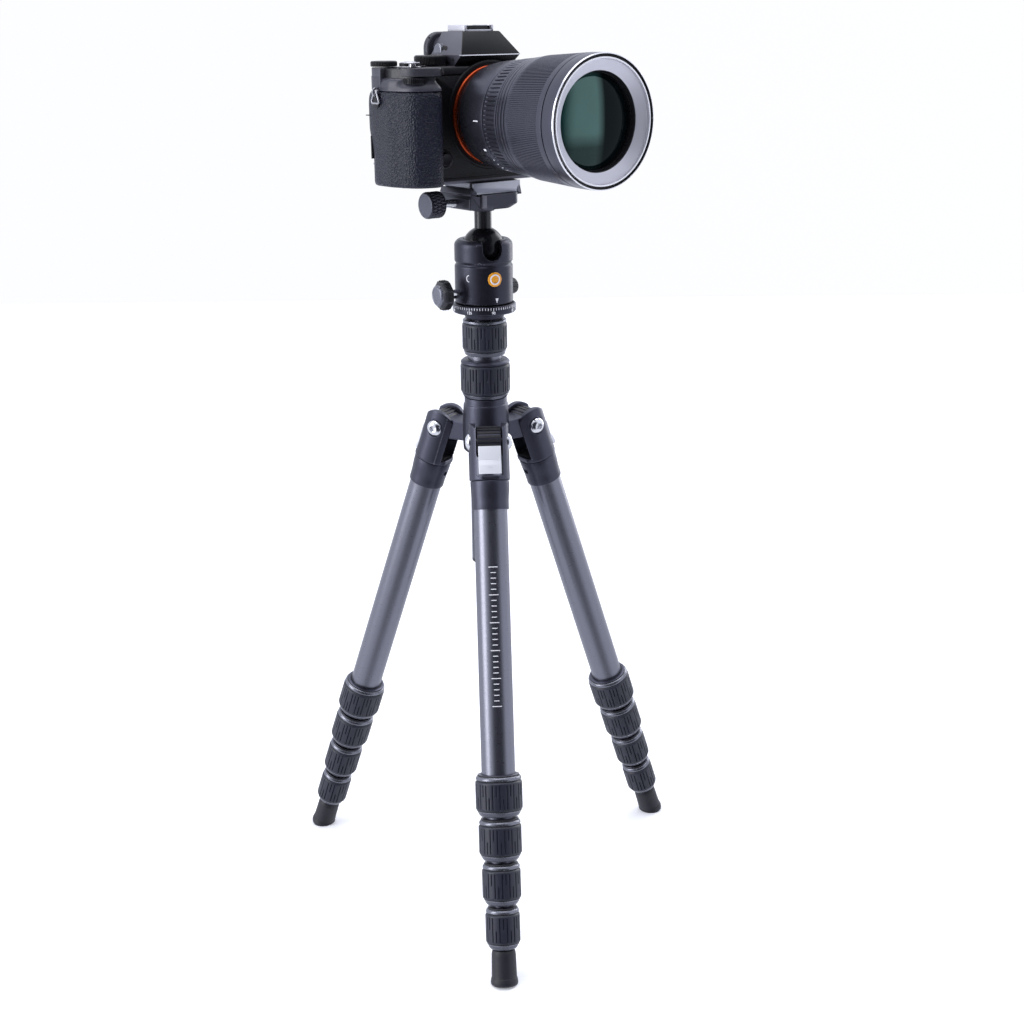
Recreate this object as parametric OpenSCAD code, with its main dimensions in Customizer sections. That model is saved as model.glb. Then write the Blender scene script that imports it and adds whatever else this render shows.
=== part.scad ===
// Travel tripod with ball head and a mirrorless camera.
// Frame: +Z up, origin on the floor under the centre column, lens looking along -Y.

/* [Stance] */
// Height of the leg pivots above the floor
pivot_h = 332.3; // [325:0.1:340]
// Distance of the leg pivots from the column axis
pivot_r = 32.8; // [32.5:0.1:36]
// Lean of each leg from the vertical, in degrees
leg_angle = 19.2; // [17:0.1:22]
// Turn of the first leg from the lens direction, in degrees
leg_turn = -34.5; // [-40:0.5:-28]

/* [Legs] */
// Outer radius of the thickest leg tube
tube_r = 11; // [10.8:0.05:11.2]
// Step in radius from one leg tube to the next
tube_step = 1.65; // [1.6:0.05:1.7]
// Wall of every leg tube
tube_wall = 1; // [0.8:0.1:1]
// Outer radius of the first twist lock
lock_r = 15.3; // [15:0.1:15.6]
// Step in radius from one twist lock to the next
lock_step = 1.35; // [1.2:0.05:1.4]
// Length of a leg twist lock
lock_h = 27.4; // [26:0.1:28]
// Gap between two twist locks with the leg closed
lock_gap = 1.2; // [0.8:0.1:1.6]
// Length of a rubber foot
foot_len = 22.4; // [20:0.1:25]

/* [Column] */
// Radius of the outer column tube
column_r = 11; // [10.5:0.1:11.5]
// Radius of the inner column tube
inner_r = 9.3; // [9:0.1:9.4]
// Height of the underside of the outer column tube
column_bottom = 241.4; // [238:0.1:246]
// Height of the top of the spider collar
collar_top = 355.4; // [353:0.1:357]
// Radius of the lower column lock
lower_lock_r = 16.5; // [16:0.1:17]
// Radius of the upper column lock
upper_lock_r = 14.9; // [14.5:0.1:15.5]

/* [Head] */
// Radius of the ball head housing
housing_r = 19; // [18.5:0.1:19.5]
// Radius of the degree ring
ring_r = 20.8; // [20.5:0.1:22]
// Radius of the ball
ball_r = 13.8; // [13.6:0.1:13.9]
// Height of the ball centre
ball_h = 454.3; // [453.8:0.1:454.8]
// Radius of the ball stem
stem_r = 5.6; // [5:0.1:5.7]
// Turn of the drop notch from the lens direction, in degrees
notch_turn = -18; // [-25:1:-10]
// Turn of the ball lock knob from the lens direction, in degrees
knob_turn = -97; // [-105:1:-92]

/* [Camera] */
// Height of the camera base
camera_h = 497.4; // [497.2:0.1:497.6]
// Height of the lens axis above the camera base
axis_rise = 41; // [40.5:0.1:42]
// Height of the top plate above the camera base
plate_rise = 71; // [70:0.5:72]
// Camera body from the lens axis to the grip side
grip_side = 71; // [70:0.5:73]
// Camera body from the lens axis to the plain side
plain_side = 55; // [54:0.5:57]
// Distance of the lens flange in front of the column axis
flange = 12.5; // [12:0.1:13]

/* [Lens] */
// Distance of the lens front in front of the column axis
lens_front = 118; // [117:0.5:119]
// Outer radius of the lens front
lens_r = 38.9; // [38.6:0.1:39.2]
// Radius of the filter thread
filter_r = 36; // [35.5:0.25:36.25]

/* [Hidden] */
$fn = 64;
legs = [1, 2, 3];
leg_len = pivot_h / cos(leg_angle);
fit = 0.08;

// Leg tubes 1 to 5 and locks 1 to 4, measured down the leg from its pivot.
function tube(i) = tube_r - (i - 1) * tube_step;
function lock_radius(i) = lock_r - (i - 1) * lock_step;
function lock_top(i) = leg_len - foot_len - lock_h - (4 - i) * (lock_h + lock_gap);
function section_top(i) = 56 + 3 * i;
seat = 20;
fork_r = 13.3;
ear_r = 12.2;
slot_w = 17.2;
slot_end = 22.7;
seam_t = 26;
casting_t = 44.6;
lug_r = 9.6;
bolt_r = 3;

ring_bottom = 412.5;
ring_top = 418.6;
housing_bottom = 418.9;
housing_top = 460.3;
clamp_bottom = 480.3;
knob_h = 425.8;
pan_knob_turn = 100;
screw_r = 3.1;
dial_x = -33;
dial_y = 8;
corner_dial_x = -63;
corner_dial_y = 14.6;
shutter_x = -60;
shutter_y = -9;
plate_bottom = 490;
mount_back = flange - 1.5;
mouth_r = 24;
thread_len = 2.2;
screen_hinge_y = 21.6;
screen_hinge_rise = 60.6;
axis_h = camera_h + axis_rise;
plate_h = camera_h + plate_rise;

// ---------- helpers ----------

// Moves children from a leg's own frame, pivot at the origin and leg along -Z, to leg k.
module on_leg(k) {
    rotate([0, 0, leg_turn + 120 * (k - 1)])
        translate([0, -pivot_r, pivot_h])
            rotate([-leg_angle, 0, 0])
                children();
}

// Turns children from the -Y direction by an angle seen from above, counter-clockwise.
module facing(turn) {
    rotate([0, 0, turn]) children();
}

// A tube along Z from z0 up to z1.
module pipe(outer, inner, z0, z1) {
    rotate_extrude()
        translate([inner, z0])
            square([outer - inner, z1 - z0]);
}

// A solid of revolution about the lens axis; the profile is [radius, distance forward].
module lens_turned() {
    translate([0, 0, axis_h])
        rotate([90, 0, 0])
            rotate_extrude()
                children();
}

// A block extruded along X from a profile in Y and Z.
module along_x(x0, x1) {
    translate([x0, 0, 0])
        rotate([90, 0, 90])
            linear_extrude(x1 - x0)
                children();
}

// ---------- legs ----------

// Rounded fork with two ears, a slot for the spider lug and the angle tab, and the first tube.
module leg_upper(k) {
    color("#2b2b31")
        on_leg(k) {
            difference() {
                union() {
                    intersection() {
                        translate([0, 0, -seam_t])
                            cylinder(r = fork_r, h = seam_t + ear_r);
                        union() {
                            rotate([0, 90, 0])
                                cylinder(r = ear_r, h = 2 * fork_r, center = true);
                            translate([-fork_r, -ear_r, -seam_t])
                                cube([2 * fork_r, 2 * ear_r, seam_t]);
                        }
                    }
                    translate([0, 0, -casting_t])
                        cylinder(r = tube_r + 1.1, h = casting_t - seam_t);
                }
                translate([-slot_w / 2, -20, -slot_end])
                    cube([slot_w, 40, slot_end + 20]);
                rotate([0, 90, 0])
                    cylinder(r = bolt_r + fit, h = 40, center = true);
                for (side = [-1, 1])
                    translate([side * (fork_r + 0.1), 0, 0])
                        rotate([0, 90, 0])
                            cylinder(r = 5.9, h = 3, center = true);
                translate([0, 0, -casting_t - 1])
                    cylinder(r = tube_r, h = casting_t - 29);
                translate([0, ear_r - 4, -seam_t - 7])
                    rotate([-90, 0, 0])
                        cylinder(r = 1.8, h = 8);
            }
            pipe(tube_r, tube_r - tube_wall, -(lock_top(1) + seat), -30);
        }
}

// Bent pull tab that sets the leg angle, with its pawl behind it.
module angle_tab(k) {
    color("#c9cbd1")
        on_leg(k)
            along_x(-7.4, 7.4)
                polygon([
                    [-11.6, -3.6], [-10.4, -3.6], [-10.4, -12], [-3.4, -13.2], [-3.4, -17],
                    [-10.4, -18], [-11, -21.8], [-13.4, -21.8], [-13.4, -20.6], [-11.8, -13]
                ]);
}

// Twist lock i: silver top ring, rubber sleeve and tapered end as one turned body.
module leg_lock(k, i) {
    r = lock_radius(i);
    color("#24252b")
        on_leg(k)
            translate([0, 0, -lock_top(i)])
                rotate_extrude()
                    polygon([
                        [tube(i) + fit, 0], [r - 1.3, 0], [r - 0.5, -0.8], [r - 0.5, -3.8],
                        [r - 1, -4.2], [r, -5.2], [r, -22.4], [r - 1, -23.4],
                        [r - 1.4, -24], [r - 2.6, -lock_h], [tube(i + 1) + fit, -lock_h],
                        [tube(i + 1) + fit, -seat - 0.4], [tube(i) + fit, -seat - 0.4]
                    ]);
}

// Leg section i: a tube with its guide bush at the top; the last one carries the rubber foot.
module leg_section(k, i) {
    bottom = i < 5 ? lock_top(i) + seat : leg_len - foot_len + 15;
    color("#3a3b42")
        on_leg(k) {
            pipe(tube(i), tube(i) - tube_wall, -bottom, -section_top(i));
            pipe(tube(i - 1) - tube_wall - 0.05, tube(i), -section_top(i) - 12, -section_top(i));
        }
    if (i == 5)
        color("#1c1c20")
            rubber_foot(k);
}

// Flared rubber foot, cut flat where it stands on the floor.
module rubber_foot(k) {
    intersection() {
        on_leg(k)
            translate([0, 0, -leg_len])
                rotate_extrude()
                    polygon([
                        [0, -1.6], [7, -1.6], [8.6, -0.6], [9.1, 1], [7.9, foot_len - 2],
                        [7.2, foot_len - 0.6], [tube(5), foot_len - 0.6], [tube(5), foot_len - 15],
                        [0, foot_len - 15]
                    ]);
        translate([-300, -300, 0])
            cube([600, 600, 60]);
    }
}

// ---------- spider and column ----------

// Hub with a flared collar, a threaded neck and three toothed lugs.
module spider() {
    color("#303138")
        difference() {
            union() {
                rotate_extrude()
                    polygon([
                        [0, 318], [14.4, 318], [15.4, 319], [15.7, 326], [15.7, 337],
                        [14.9, 350.4], [14.4, 351.2], [14.4, collar_top], [13, collar_top],
                        [13, 370], [0, 370]
                    ]);
                for (k = legs)
                    facing(leg_turn + 120 * (k - 1))
                        spider_lug();
            }
            translate([0, 0, 310])
                cylinder(r = column_r + fit, h = 70);
        }
}

// One lug, pointing along -Y: an arm and a toothed drum around the pivot.
module spider_lug() {
    lug_w = slot_w - 0.6;
    difference() {
        union() {
            translate([-lug_w / 2, -pivot_r, pivot_h - 8])
                cube([lug_w, pivot_r - 6, 13]);
            translate([0, -pivot_r, pivot_h])
                rotate([0, 90, 0])
                    cylinder(r = lug_r, h = lug_w, center = true);
        }
        translate([0, -pivot_r, pivot_h]) {
            rotate([0, 90, 0])
                cylinder(r = bolt_r, h = 40, center = true);
            for (tooth = [-2:4])
                rotate([-tooth * 17 + 20, 0, 0])
                    translate([0, -lug_r, 0])
                        rotate([0, 90, 0])
                            cylinder(r = 0.8, h = 30, center = true);
        }
    }
}

// Three pivot bolts, each a pin with a domed head and a domed nut.
module pivot_bolts() {
    dome_h = 2.6;
    color("#d5d6da")
        for (k = legs)
            on_leg(k)
                for (side = [-1, 1])
                    mirror([side < 0 ? 1 : 0, 0, 0])
                        rotate([0, 90, 0])
                            rotate_extrude()
                                polygon([
                                    [0, 0], [bolt_r, 0], [bolt_r, fork_r - 1.3],
                                    [5.4, fork_r - 1.3], [5.4, fork_r - 0.4],
                                    [4.6, fork_r + 1], [3, fork_r - 1.3 + dome_h + 0.7],
                                    [1.9, fork_r - 1.3 + dome_h + 1], [1.9, fork_r + 0.4],
                                    [0, fork_r + 0.4]
                                ]);
}

// Lower twist lock: grips the outer column tube.
module column_lower_lock() {
    r = lower_lock_r;
    b = collar_top + 0.3;
    color("#24252b")
        rotate_extrude()
            polygon([
                [13 + fit, b], [r - 1.7, b], [r - 1.7, b + 2.4], [r - 0.6, b + 3.2],
                [r, b + 4.6], [r, b + 20.6], [r - 0.8, b + 22], [r - 0.8, b + 22.4],
                [r - 1, b + 25], [r - 1.6, b + 25.3], [column_r + fit, b + 25.3],
                [column_r + fit, 370.4], [13 + fit, 370.4]
            ]);
}

// Outer column tube.
module column_outer_tube() {
    color("#3a3b42")
        pipe(column_r, column_r - 1, column_bottom, 399.7);
}

// Upper twist lock: grips the inner column tube.
module column_upper_lock() {
    r = upper_lock_r;
    color("#24252b")
        rotate_extrude()
            polygon([
                [column_r + fit, 384], [r - 1.7, 384], [r - 1.1, 386.4], [r - 0.6, 387.2],
                [r, 388.6], [r, 403.6], [r - 0.8, 405], [r - 0.6, 405.4], [r - 0.6, 407.2],
                [r - 1.1, 407.7], [inner_r + fit, 407.7], [inner_r + fit, 400.1],
                [column_r + fit, 400.1]
            ]);
}

// Inner column tube with its guide bush at the bottom.
module column_inner_tube() {
    color("#3a3b42") {
        pipe(inner_r, inner_r - 1, 256, 416);
        pipe(column_r - 1.05, inner_r, 256, 270);
    }
}

// Bag hook: a cap in the foot of the column with a closed loop under it.
module bag_hook() {
    loop_r = 6;
    color("#1f1f24") {
        rotate_extrude()
            polygon([
                [0, column_bottom - 2.4], [10.6, column_bottom - 2.4], [11, column_bottom - 2],
                [11, column_bottom], [column_r - 1, column_bottom],
                [column_r - 1, column_bottom + 6], [0, column_bottom + 6]
            ]);
        translate([0, 0, column_bottom - 2.4 - loop_r + 0.6])
            rotate([90, 0, 0])
                rotate_extrude()
                    translate([loop_r - 1.1, 0])
                        circle(r = 1.1, $fn = 24);
    }
}

// ---------- head ----------

// Pan base: degree ring, neck over the upper lock and the spigot that the housing turns on.
module pan_base() {
    color("#2a2a30")
        difference() {
            rotate_extrude()
                polygon([
                    [0, 408.2], [12.6, 408.2], [13.6, ring_bottom - 0.6], [13.6, ring_bottom],
                    [ring_r - 0.6, ring_bottom], [ring_r, ring_bottom + 0.6],
                    [ring_r, ring_top - 0.8], [ring_r - 0.8, ring_top], [12, ring_top],
                    [12, 424], [0, 424]
                ]);
            translate([0, 0, 407])
                cylinder(r = inner_r, h = 9);
        }
}

// Housing around the ball, with the drop notch, the waist groove and the two knob bores.
module head_housing() {
    color("#2d2d34")
        difference() {
            rotate_extrude()
                polygon([
                    [0, housing_bottom], [housing_r - 0.4, housing_bottom],
                    [housing_r, housing_bottom + 0.4], [housing_r, 444],
                    [housing_r - 0.9, 444.4], [housing_r - 0.9, 445.2], [housing_r, 445.6],
                    [housing_r, 457], [housing_r - 2.4, housing_top], [0, housing_top]
                ]);
            translate([0, 0, housing_bottom - 1])
                cylinder(r = 12 + fit, h = 425 - housing_bottom);
            translate([0, 0, ball_h])
                sphere(r = ball_r + 0.1, $fn = 96);
            translate([0, 0, ball_h])
                cylinder(r = 12.6, h = 12);
            facing(notch_turn)
                translate([0, 0, ball_h]) {
                    rotate([90, 0, 0])
                        cylinder(r = 6.2, h = 30);
                    translate([-6.2, -30, 0])
                        cube([12.4, 30, 12]);
                }
            facing(knob_turn)
                translate([0, -13, knob_h])
                    rotate([90, 0, 0])
                        cylinder(r = 3 + fit, h = 12);
            facing(pan_knob_turn)
                translate([0, -14, knob_h])
                    rotate([90, 0, 0])
                        cylinder(r = 2 + fit, h = 12);
        }
}

// Ball of the head.
module ball() {
    color("#17171a")
        translate([0, 0, ball_h])
            sphere(r = ball_r, $fn = 96);
}

// Stem that stands on the ball and carries the clamp.
module ball_stem() {
    color("#1d1d21")
        difference() {
            translate([0, 0, ball_h])
                cylinder(r = stem_r, h = clamp_bottom - ball_h);
            translate([0, 0, ball_h])
                sphere(r = ball_r + 0.05, $fn = 96);
        }
}

// Knob that locks the ball: eight flats, a tapered cap and a shaft.
module ball_lock_knob() {
    color("#26262c")
        facing(knob_turn)
            translate([0, 0, knob_h])
                rotate([90, 0, 0]) {
                    translate([0, 0, 13.4])
                        cylinder(r = 3, h = 14);
                    translate([0, 0, 26.5])
                        cylinder(r = 9.9, h = 6.5, $fn = 8);
                    translate([0, 0, 32.9])
                        cylinder(r = 7.4, h = 3.1);
                }
}

// Small thumb knob that locks the panning base.
module pan_lock_knob() {
    color("#26262c")
        facing(pan_knob_turn)
            translate([0, 0, knob_h])
                rotate([90, 0, 0]) {
                    translate([0, 0, 14.4])
                        cylinder(r = 2, h = 8);
                    translate([0, 0, 21.5])
                        cylinder(r = 5.4, h = 7.5);
                }
}

// Clamp: round bed with the fixed jaw on the plain side.
module clamp_body() {
    color("#1a1a1e")
        difference() {
            union() {
                intersection() {
                    translate([0, 0, clamp_bottom])
                        cylinder(r = 22.5, h = plate_bottom - 0.1 - clamp_bottom, $fn = 96);
                    translate([-13, -17, clamp_bottom - 1])
                        cube([40, 34, 20]);
                }
                intersection() {
                    rotate([90, 0, 0])
                        linear_extrude(34, center = true)
                            polygon([
                                [16.5, plate_bottom - 2], [16.5, plate_bottom + 1.6],
                                [18.8, plate_bottom + 3.9], [21.2, plate_bottom + 3.9],
                                [22.4, plate_bottom - 2]
                            ]);
                    translate([0, 0, clamp_bottom])
                        cylinder(r = 24.5, h = 30, $fn = 96);
                }
            }
            translate([-14, 0, 484.5])
                rotate([0, 90, 0])
                    cylinder(r = 2.5 + fit, h = 12);
        }
}

// Movable jaw on the grip side, pulled in by the knob.
module clamp_jaw() {
    color("#1f1f24")
        difference() {
            rotate([90, 0, 0])
                linear_extrude(33, center = true)
                    polygon([
                        [-13.5, clamp_bottom + 0.4], [-13.5, plate_bottom - 0.2],
                        [-16.5, plate_bottom - 0.2], [-16.5, plate_bottom + 1.6],
                        [-18.8, plate_bottom + 3.9], [-21, plate_bottom + 3.9],
                        [-22.6, plate_bottom - 1], [-22.6, clamp_bottom + 0.4]
                    ]);
            translate([-30, 0, 484.5])
                rotate([0, 90, 0])
                    cylinder(r = 2.5 + fit, h = 20);
        }
}

// Knurled knob with the screw that closes the clamp.
module clamp_knob() {
    color("#202026")
        translate([0, 0, 484.5]) {
            rotate([0, -90, 0])
                translate([0, 0, 33.5])
                    rotate_extrude()
                        polygon([
                            [0, 0], [7.6, 0], [8.5, 0.9], [8.5, 11.4], [7.8, 12.2],
                            [7, 12.2], [6.6, 11.8], [0, 11.8]
                        ]);
            rotate([0, -90, 0])
                translate([0, 0, 3])
                    cylinder(r = 2.5, h = 31);
        }
}

// Quick-release plate with dovetail sides, and the slotted screw that holds the camera.
module quick_plate() {
    recess = plate_bottom + 3;
    color("#5a5c66")
        difference() {
            rotate([90, 0, 0])
                linear_extrude(31, center = true)
                    polygon([
                        [-18.8, camera_h], [18.8, camera_h], [18.8, plate_bottom + 4.2],
                        [16.2, plate_bottom + 1.6], [16.2, plate_bottom],
                        [-16.2, plate_bottom], [-16.2, plate_bottom + 1.6],
                        [-18.8, plate_bottom + 4.2]
                    ]);
            translate([0, 0, plate_bottom - 1])
                cylinder(r = 8, h = 4);
            translate([0, 0, plate_bottom])
                cylinder(r = screw_r + fit, h = 20);
        }
    color("#b9bac0")
        difference() {
            union() {
                translate([0, 0, plate_bottom + 0.6])
                    cylinder(r = 7.6, h = recess - plate_bottom - 0.6);
                translate([0, 0, recess - 0.1])
                    cylinder(r = screw_r, h = camera_h + 4.5 - recess);
            }
            translate([-0.8, -10, plate_bottom - 1])
                cube([1.6, 20, 2.6]);
        }
}

// ---------- camera ----------

// Body shell: hollow box with the lens boss and a round mouth behind the lens.
module camera_body() {
    front = -10;
    back = 20;
    color("#15151a")
        difference() {
            union() {
                body_block(front, back, 0, plate_rise - 4);
                intersection() {
                    lens_boss();
                    translate([-40, -20, camera_h])
                        cube([80, 20, plate_rise - 4]);
                }
            }
            translate([-38, front + 2.5, camera_h + 6])
                cube([plain_side + 35, back - front - 5, plate_rise - 13]);
            translate([0, 0, axis_h])
                rotate([90, 0, 0])
                    cylinder(r = mouth_r, h = 40);
            translate([0, 0, camera_h - 1])
                cylinder(r = screw_r + fit, h = 6);
        }
    color("#3a4a5a")
        translate([-19, 4.5, axis_h - 13])
            cube([38, 3, 26]);
}

// Round boss on the front of the camera, behind the bayonet ring.
module lens_boss() {
    translate([0, -9, axis_h])
        rotate([90, 0, 0])
            cylinder(r = 33.5, h = mount_back - 9);
}

// The body's outline, from z0 to z1 above the base, with round corners at the plain side.
module body_block(front, back, z0, z1) {
    corner = 6;
    translate([0, 0, camera_h + z0]) {
        linear_extrude(z1 - z0)
            polygon([
                [-grip_side + 9, back], [-grip_side + 9, front + 4], [-grip_side + 16, front],
                [plain_side - corner, front], [plain_side, front + corner],
                [plain_side, back - corner], [plain_side - corner, back]
            ]);
    }
}

// Top cover: plate, shoulder over the grip, viewfinder hump, eyepiece and accessory shoe.
module top_cover() {
    color("#1b1b20")
        difference() {
            union() {
                body_block(-10, 20, plate_rise - 4, plate_rise);
                hand_form(plate_rise - 13.6, plate_rise, 0.6);
                hump();
                eyepiece();
                intersection() {
                    lens_boss();
                    translate([-40, -20, camera_h + plate_rise - 4])
                        cube([80, 20, 20]);
                }
            }
            translate([0, -7.4, axis_h])
                rotate([90, 0, 0])
                    cylinder(r = mouth_r, h = 10);
            translate([dial_x, dial_y, plate_h - 2])
                cylinder(r = 3 + fit, h = 4);
            translate([corner_dial_x, corner_dial_y, plate_h - 2])
                cylinder(r = 2.5 + fit, h = 4);
            translate([shutter_x, shutter_y, plate_h - 3])
                cylinder(r = 4.2, h = 5);
            body_block(-10.05, 20.05, plate_rise - 14, plate_rise - 4);
        }
    color("#c9c9cc")
        shoe();
}

// The rounded form of the hand side from z0 to z1 above the base, drawn in by inset.
module hand_form(z0, z1, inset) {
    translate([0, 0, camera_h + z0])
        hull() {
            translate([-grip_side + 6 + inset, 1, 0])
                cylinder(r = 6, h = z1 - z0, $fn = 32);
            translate([-grip_side + 4 + inset, 18 - inset, 0])
                cylinder(r = 4, h = z1 - z0, $fn = 32);
            translate([-58.5, -12.5 + inset, 0])
                cylinder(r = 8, h = z1 - z0, $fn = 32);
            translate([-48.5 - inset, -18 + inset, 0])
                cylinder(r = 5.5, h = z1 - z0, $fn = 32);
            for (y = [-9, 15])
                translate([-46 - inset, y, 0])
                    cylinder(r = 3, h = z1 - z0, $fn = 32);
        }
}

// Hump with a sloping front and sloping cheeks.
module hump() {
    hull() {
        translate([-23, -11, plate_h - 0.5])
            cube([46, 32, 6.5]);
        translate([-14.2, -1, plate_h + 19])
            cube([28.4, 22, 1.2]);
    }
}

// Eyepiece: a neck and a wide cup with round upper corners around the window.
module eyepiece() {
    difference() {
        union() {
            arch(36, 17, 8, 20, 26);
            arch(45, 20, 10, 26, 31);
        }
        translate([-12, 23, plate_h + 2])
            cube([24, 10, 12]);
    }
}

// An upright plate from y0 to y1 standing on the top plate, with round upper corners.
module arch(w, h, r, y0, y1) {
    translate([0, y1, plate_h - 0.5])
        rotate([90, 0, 0])
            linear_extrude(y1 - y0) {
                translate([-w / 2, 0])
                    square([w, h + 0.5 - r]);
                translate([-w / 2 + r, 0])
                    square([w - 2 * r, h + 0.5]);
                for (side = [-1, 1])
                    translate([side * (w / 2 - r), h + 0.5 - r])
                        circle(r = r);
            }
}

// Accessory shoe: base and two rails, open to the rear.
module shoe() {
    base = plate_h + 20.2;
    translate([-9.3, 1, base])
        cube([18.6, 18, 1]);
    for (side = [-1, 1])
        translate([side < 0 ? -11.3 : 9.3, 1, base]) {
            cube([2, 18, 3.8]);
            translate([side < 0 ? 1.9 : -1.5, 0, 3])
                cube([1.6, 18, 0.8]);
        }
}

// Moulded rubber grip around the hand side of the body, with a recess for the front dial.
module hand_grip() {
    lift = plate_rise - 13.7;
    color("#222228")
        difference() {
            union() {
                hand_form(0, lift, 0);
                thumb_rest(lift);
            }
            translate([0, 0, camera_h - 1])
                linear_extrude(lift + 2)
                    polygon([
                        [-grip_side + 9, 20.05], [-grip_side + 9, -6], [-grip_side + 16, -10],
                        [0, -10], [0, 20.05]
                    ]);
            translate([-54, -23.5, camera_h + lift - 4.6])
                cylinder(r = 8, h = 8);
        }
}

// Ridge at the back of the hand side, where the thumb rests.
module thumb_rest(top) {
    translate([0, 0, camera_h])
        hull() {
            translate([-grip_side + 4, 18, 22])
                cylinder(r = 4, h = 2, $fn = 32);
            for (p = [[-grip_side + 4, 22], [-57, 21]])
                translate([p[0], p[1], 33])
                    cylinder(r = 4, h = top - 35, $fn = 32);
            translate([-57, 17, top - 4])
                cylinder(r = 3, h = 4, $fn = 32);
            translate([-grip_side + 4, 18, top - 4])
                cylinder(r = 4, h = 4, $fn = 32);
        }
}

// Mode dial on the top plate.
module mode_dial() {
    color("#121216")
        translate([dial_x, dial_y, 0]) {
            rotate_extrude()
                polygon([
                    [0, plate_h + 0.3], [10, plate_h + 0.3], [10, plate_h + 5.6],
                    [9.2, plate_h + 6.4], [0, plate_h + 6.4]
                ]);
            translate([0, 0, plate_h - 1.8])
                cylinder(r = 3, h = 3);
        }
}

// Exposure dial at the rear corner of the hand side.
module exposure_dial() {
    color("#121216")
        translate([corner_dial_x, corner_dial_y, 0]) {
            rotate_extrude()
                polygon([
                    [0, plate_h + 0.3], [8.2, plate_h + 0.3], [8.2, plate_h + 3],
                    [7.6, plate_h + 3.6], [0, plate_h + 3.6]
                ]);
            translate([0, 0, plate_h - 1.8])
                cylinder(r = 2.5, h = 3);
        }
}

// Shutter button on the shoulder over the grip.
module shutter_button() {
    color("#d0d0d4")
        translate([shutter_x, shutter_y, plate_h - 1.6])
            rotate_extrude()
                polygon([[0, 0], [3.8, 0], [3.8, 4], [3.2, 4.8], [0, 5.2]]);
}

// Tilting screen on the back.
module rear_screen() {
    color("#101014")
        difference() {
            union() {
                translate([-27, 20.3, camera_h + 7])
                    cube([76, 5, 53]);
                translate([-15, screen_hinge_y, camera_h + screen_hinge_rise])
                    rotate([0, 90, 0])
                        cylinder(r = 1.2, h = 52);
            }
            translate([-22, 24.6, camera_h + 12])
                cube([66, 2, 43]);
        }
    color("#20242c")
        translate([-21.8, 24.6, camera_h + 12.2])
            cube([65.6, 0.5, 42.6]);
}

// Control wheel beside the screen.
module control_wheel() {
    color("#101014")
        translate([-43, 20.3, camera_h + 21])
            rotate([-90, 0, 0])
                rotate_extrude()
                    polygon([[4.2, 0], [9, 0], [9, 1.6], [8.4, 2.2], [4.2, 2.2]]);
}

// ---------- lens ----------

// Coloured bayonet ring between the body and the lens.
module lens_mount() {
    color("#d6602a")
        lens_turned()
            polygon([
                [mouth_r + 0.4, mount_back], [30.4, mount_back], [29.8, flange],
                [mouth_r + 0.4, flange]
            ]);
}

// Fixed barrel: collar, inner tube, front band and filter thread.
module lens_barrel() {
    color("#25252b")
        lens_turned()
            polygon([
                [25, flange + 0.05], [28.6, flange + 0.05], [28.8, 20], [34, 40], [34, 45.4],
                [30.6, 45.4], [30.6, 60.8], [35.6, 60.8], [36, 65.6], [35.2, 66],
                [35.2, 66.6], [36.4, 67], [36.6, 69.4], [32.4, 69.4], [32.4, 104],
                [lens_r, 107.8], [lens_r, lens_front - 1.4], [lens_r - 1, lens_front],
                [filter_r, lens_front], [filter_r, lens_front - thread_len],
                [35.4, lens_front - thread_len], [28.6, lens_front - thread_len - 3],
                [28.6, 96], [26, 94], [26, flange + 10], [25, flange + 8]
            ]);
}

// Ribbed aperture ring.
module aperture_ring() {
    color("#1c1c21")
        lens_turned()
            polygon([
                [30.6 + fit, 45.8], [34.2, 45.8], [35.4, 60.4], [30.6 + fit, 60.4]
            ]);
}

// Grooved focus ring on the flare of the barrel.
module focus_ring() {
    color("#1c1c21")
        lens_turned()
            polygon([
                [32.4 + fit, 69.8], [36.8, 69.8], [37.6, 76], [38.5, 92], [lens_r, 103],
                [lens_r, 107.3], [38.3, 107.2], [37.6, 106.6], [35, 104.9], [33.4, 103.7],
                [32.4 + fit, 103.4]
            ]);
}

// Three glass elements on one axis.
module lens_elements() {
    color("#4f8a80", 0.5)
        lens_turned() {
            polygon([
                for (a = [0:4:20]) [a / 20 * 28.52, 99 + 5.4 * cos(a * 4.5)],
                [28.52, 97], [0, 96]
            ]);
            polygon([[0, 68], [25.92, 66], [25.92, 62], [0, 60]]);
            polygon([[0, 34], [25.92, 33], [25.92, 29], [0, 30]]);
        }
}

// ---------- what is drawn ----------

for (k = legs) {
    leg_upper(k);
    angle_tab(k);
    for (i = [1:4]) {
        leg_lock(k, i);
        leg_section(k, i + 1);
    }
}
spider();
pivot_bolts();
column_lower_lock();
column_outer_tube();
column_upper_lock();
column_inner_tube();
bag_hook();
pan_base();
head_housing();
ball();
ball_stem();
clamp_body();
clamp_jaw();
clamp_knob();
ball_lock_knob();
pan_lock_knob();
quick_plate();
camera_body();
top_cover();
hand_grip();
mode_dial();
exposure_dial();
shutter_button();
rear_screen();
control_wheel();
lens_mount();
lens_barrel();
aperture_ring();
focus_ring();
lens_elements();
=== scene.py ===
"""Looks of a travel tripod with a ball head and a mirrorless camera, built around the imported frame.

Lengths in this file are millimetres and are scaled to metres where a mesh is made. The frame is the CAD's:
+Z up, origin on the floor under the centre column, lens looking along -Y.
"""

import math

import bmesh
import bpy
from mathutils import Euler, Matrix, Vector


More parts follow.
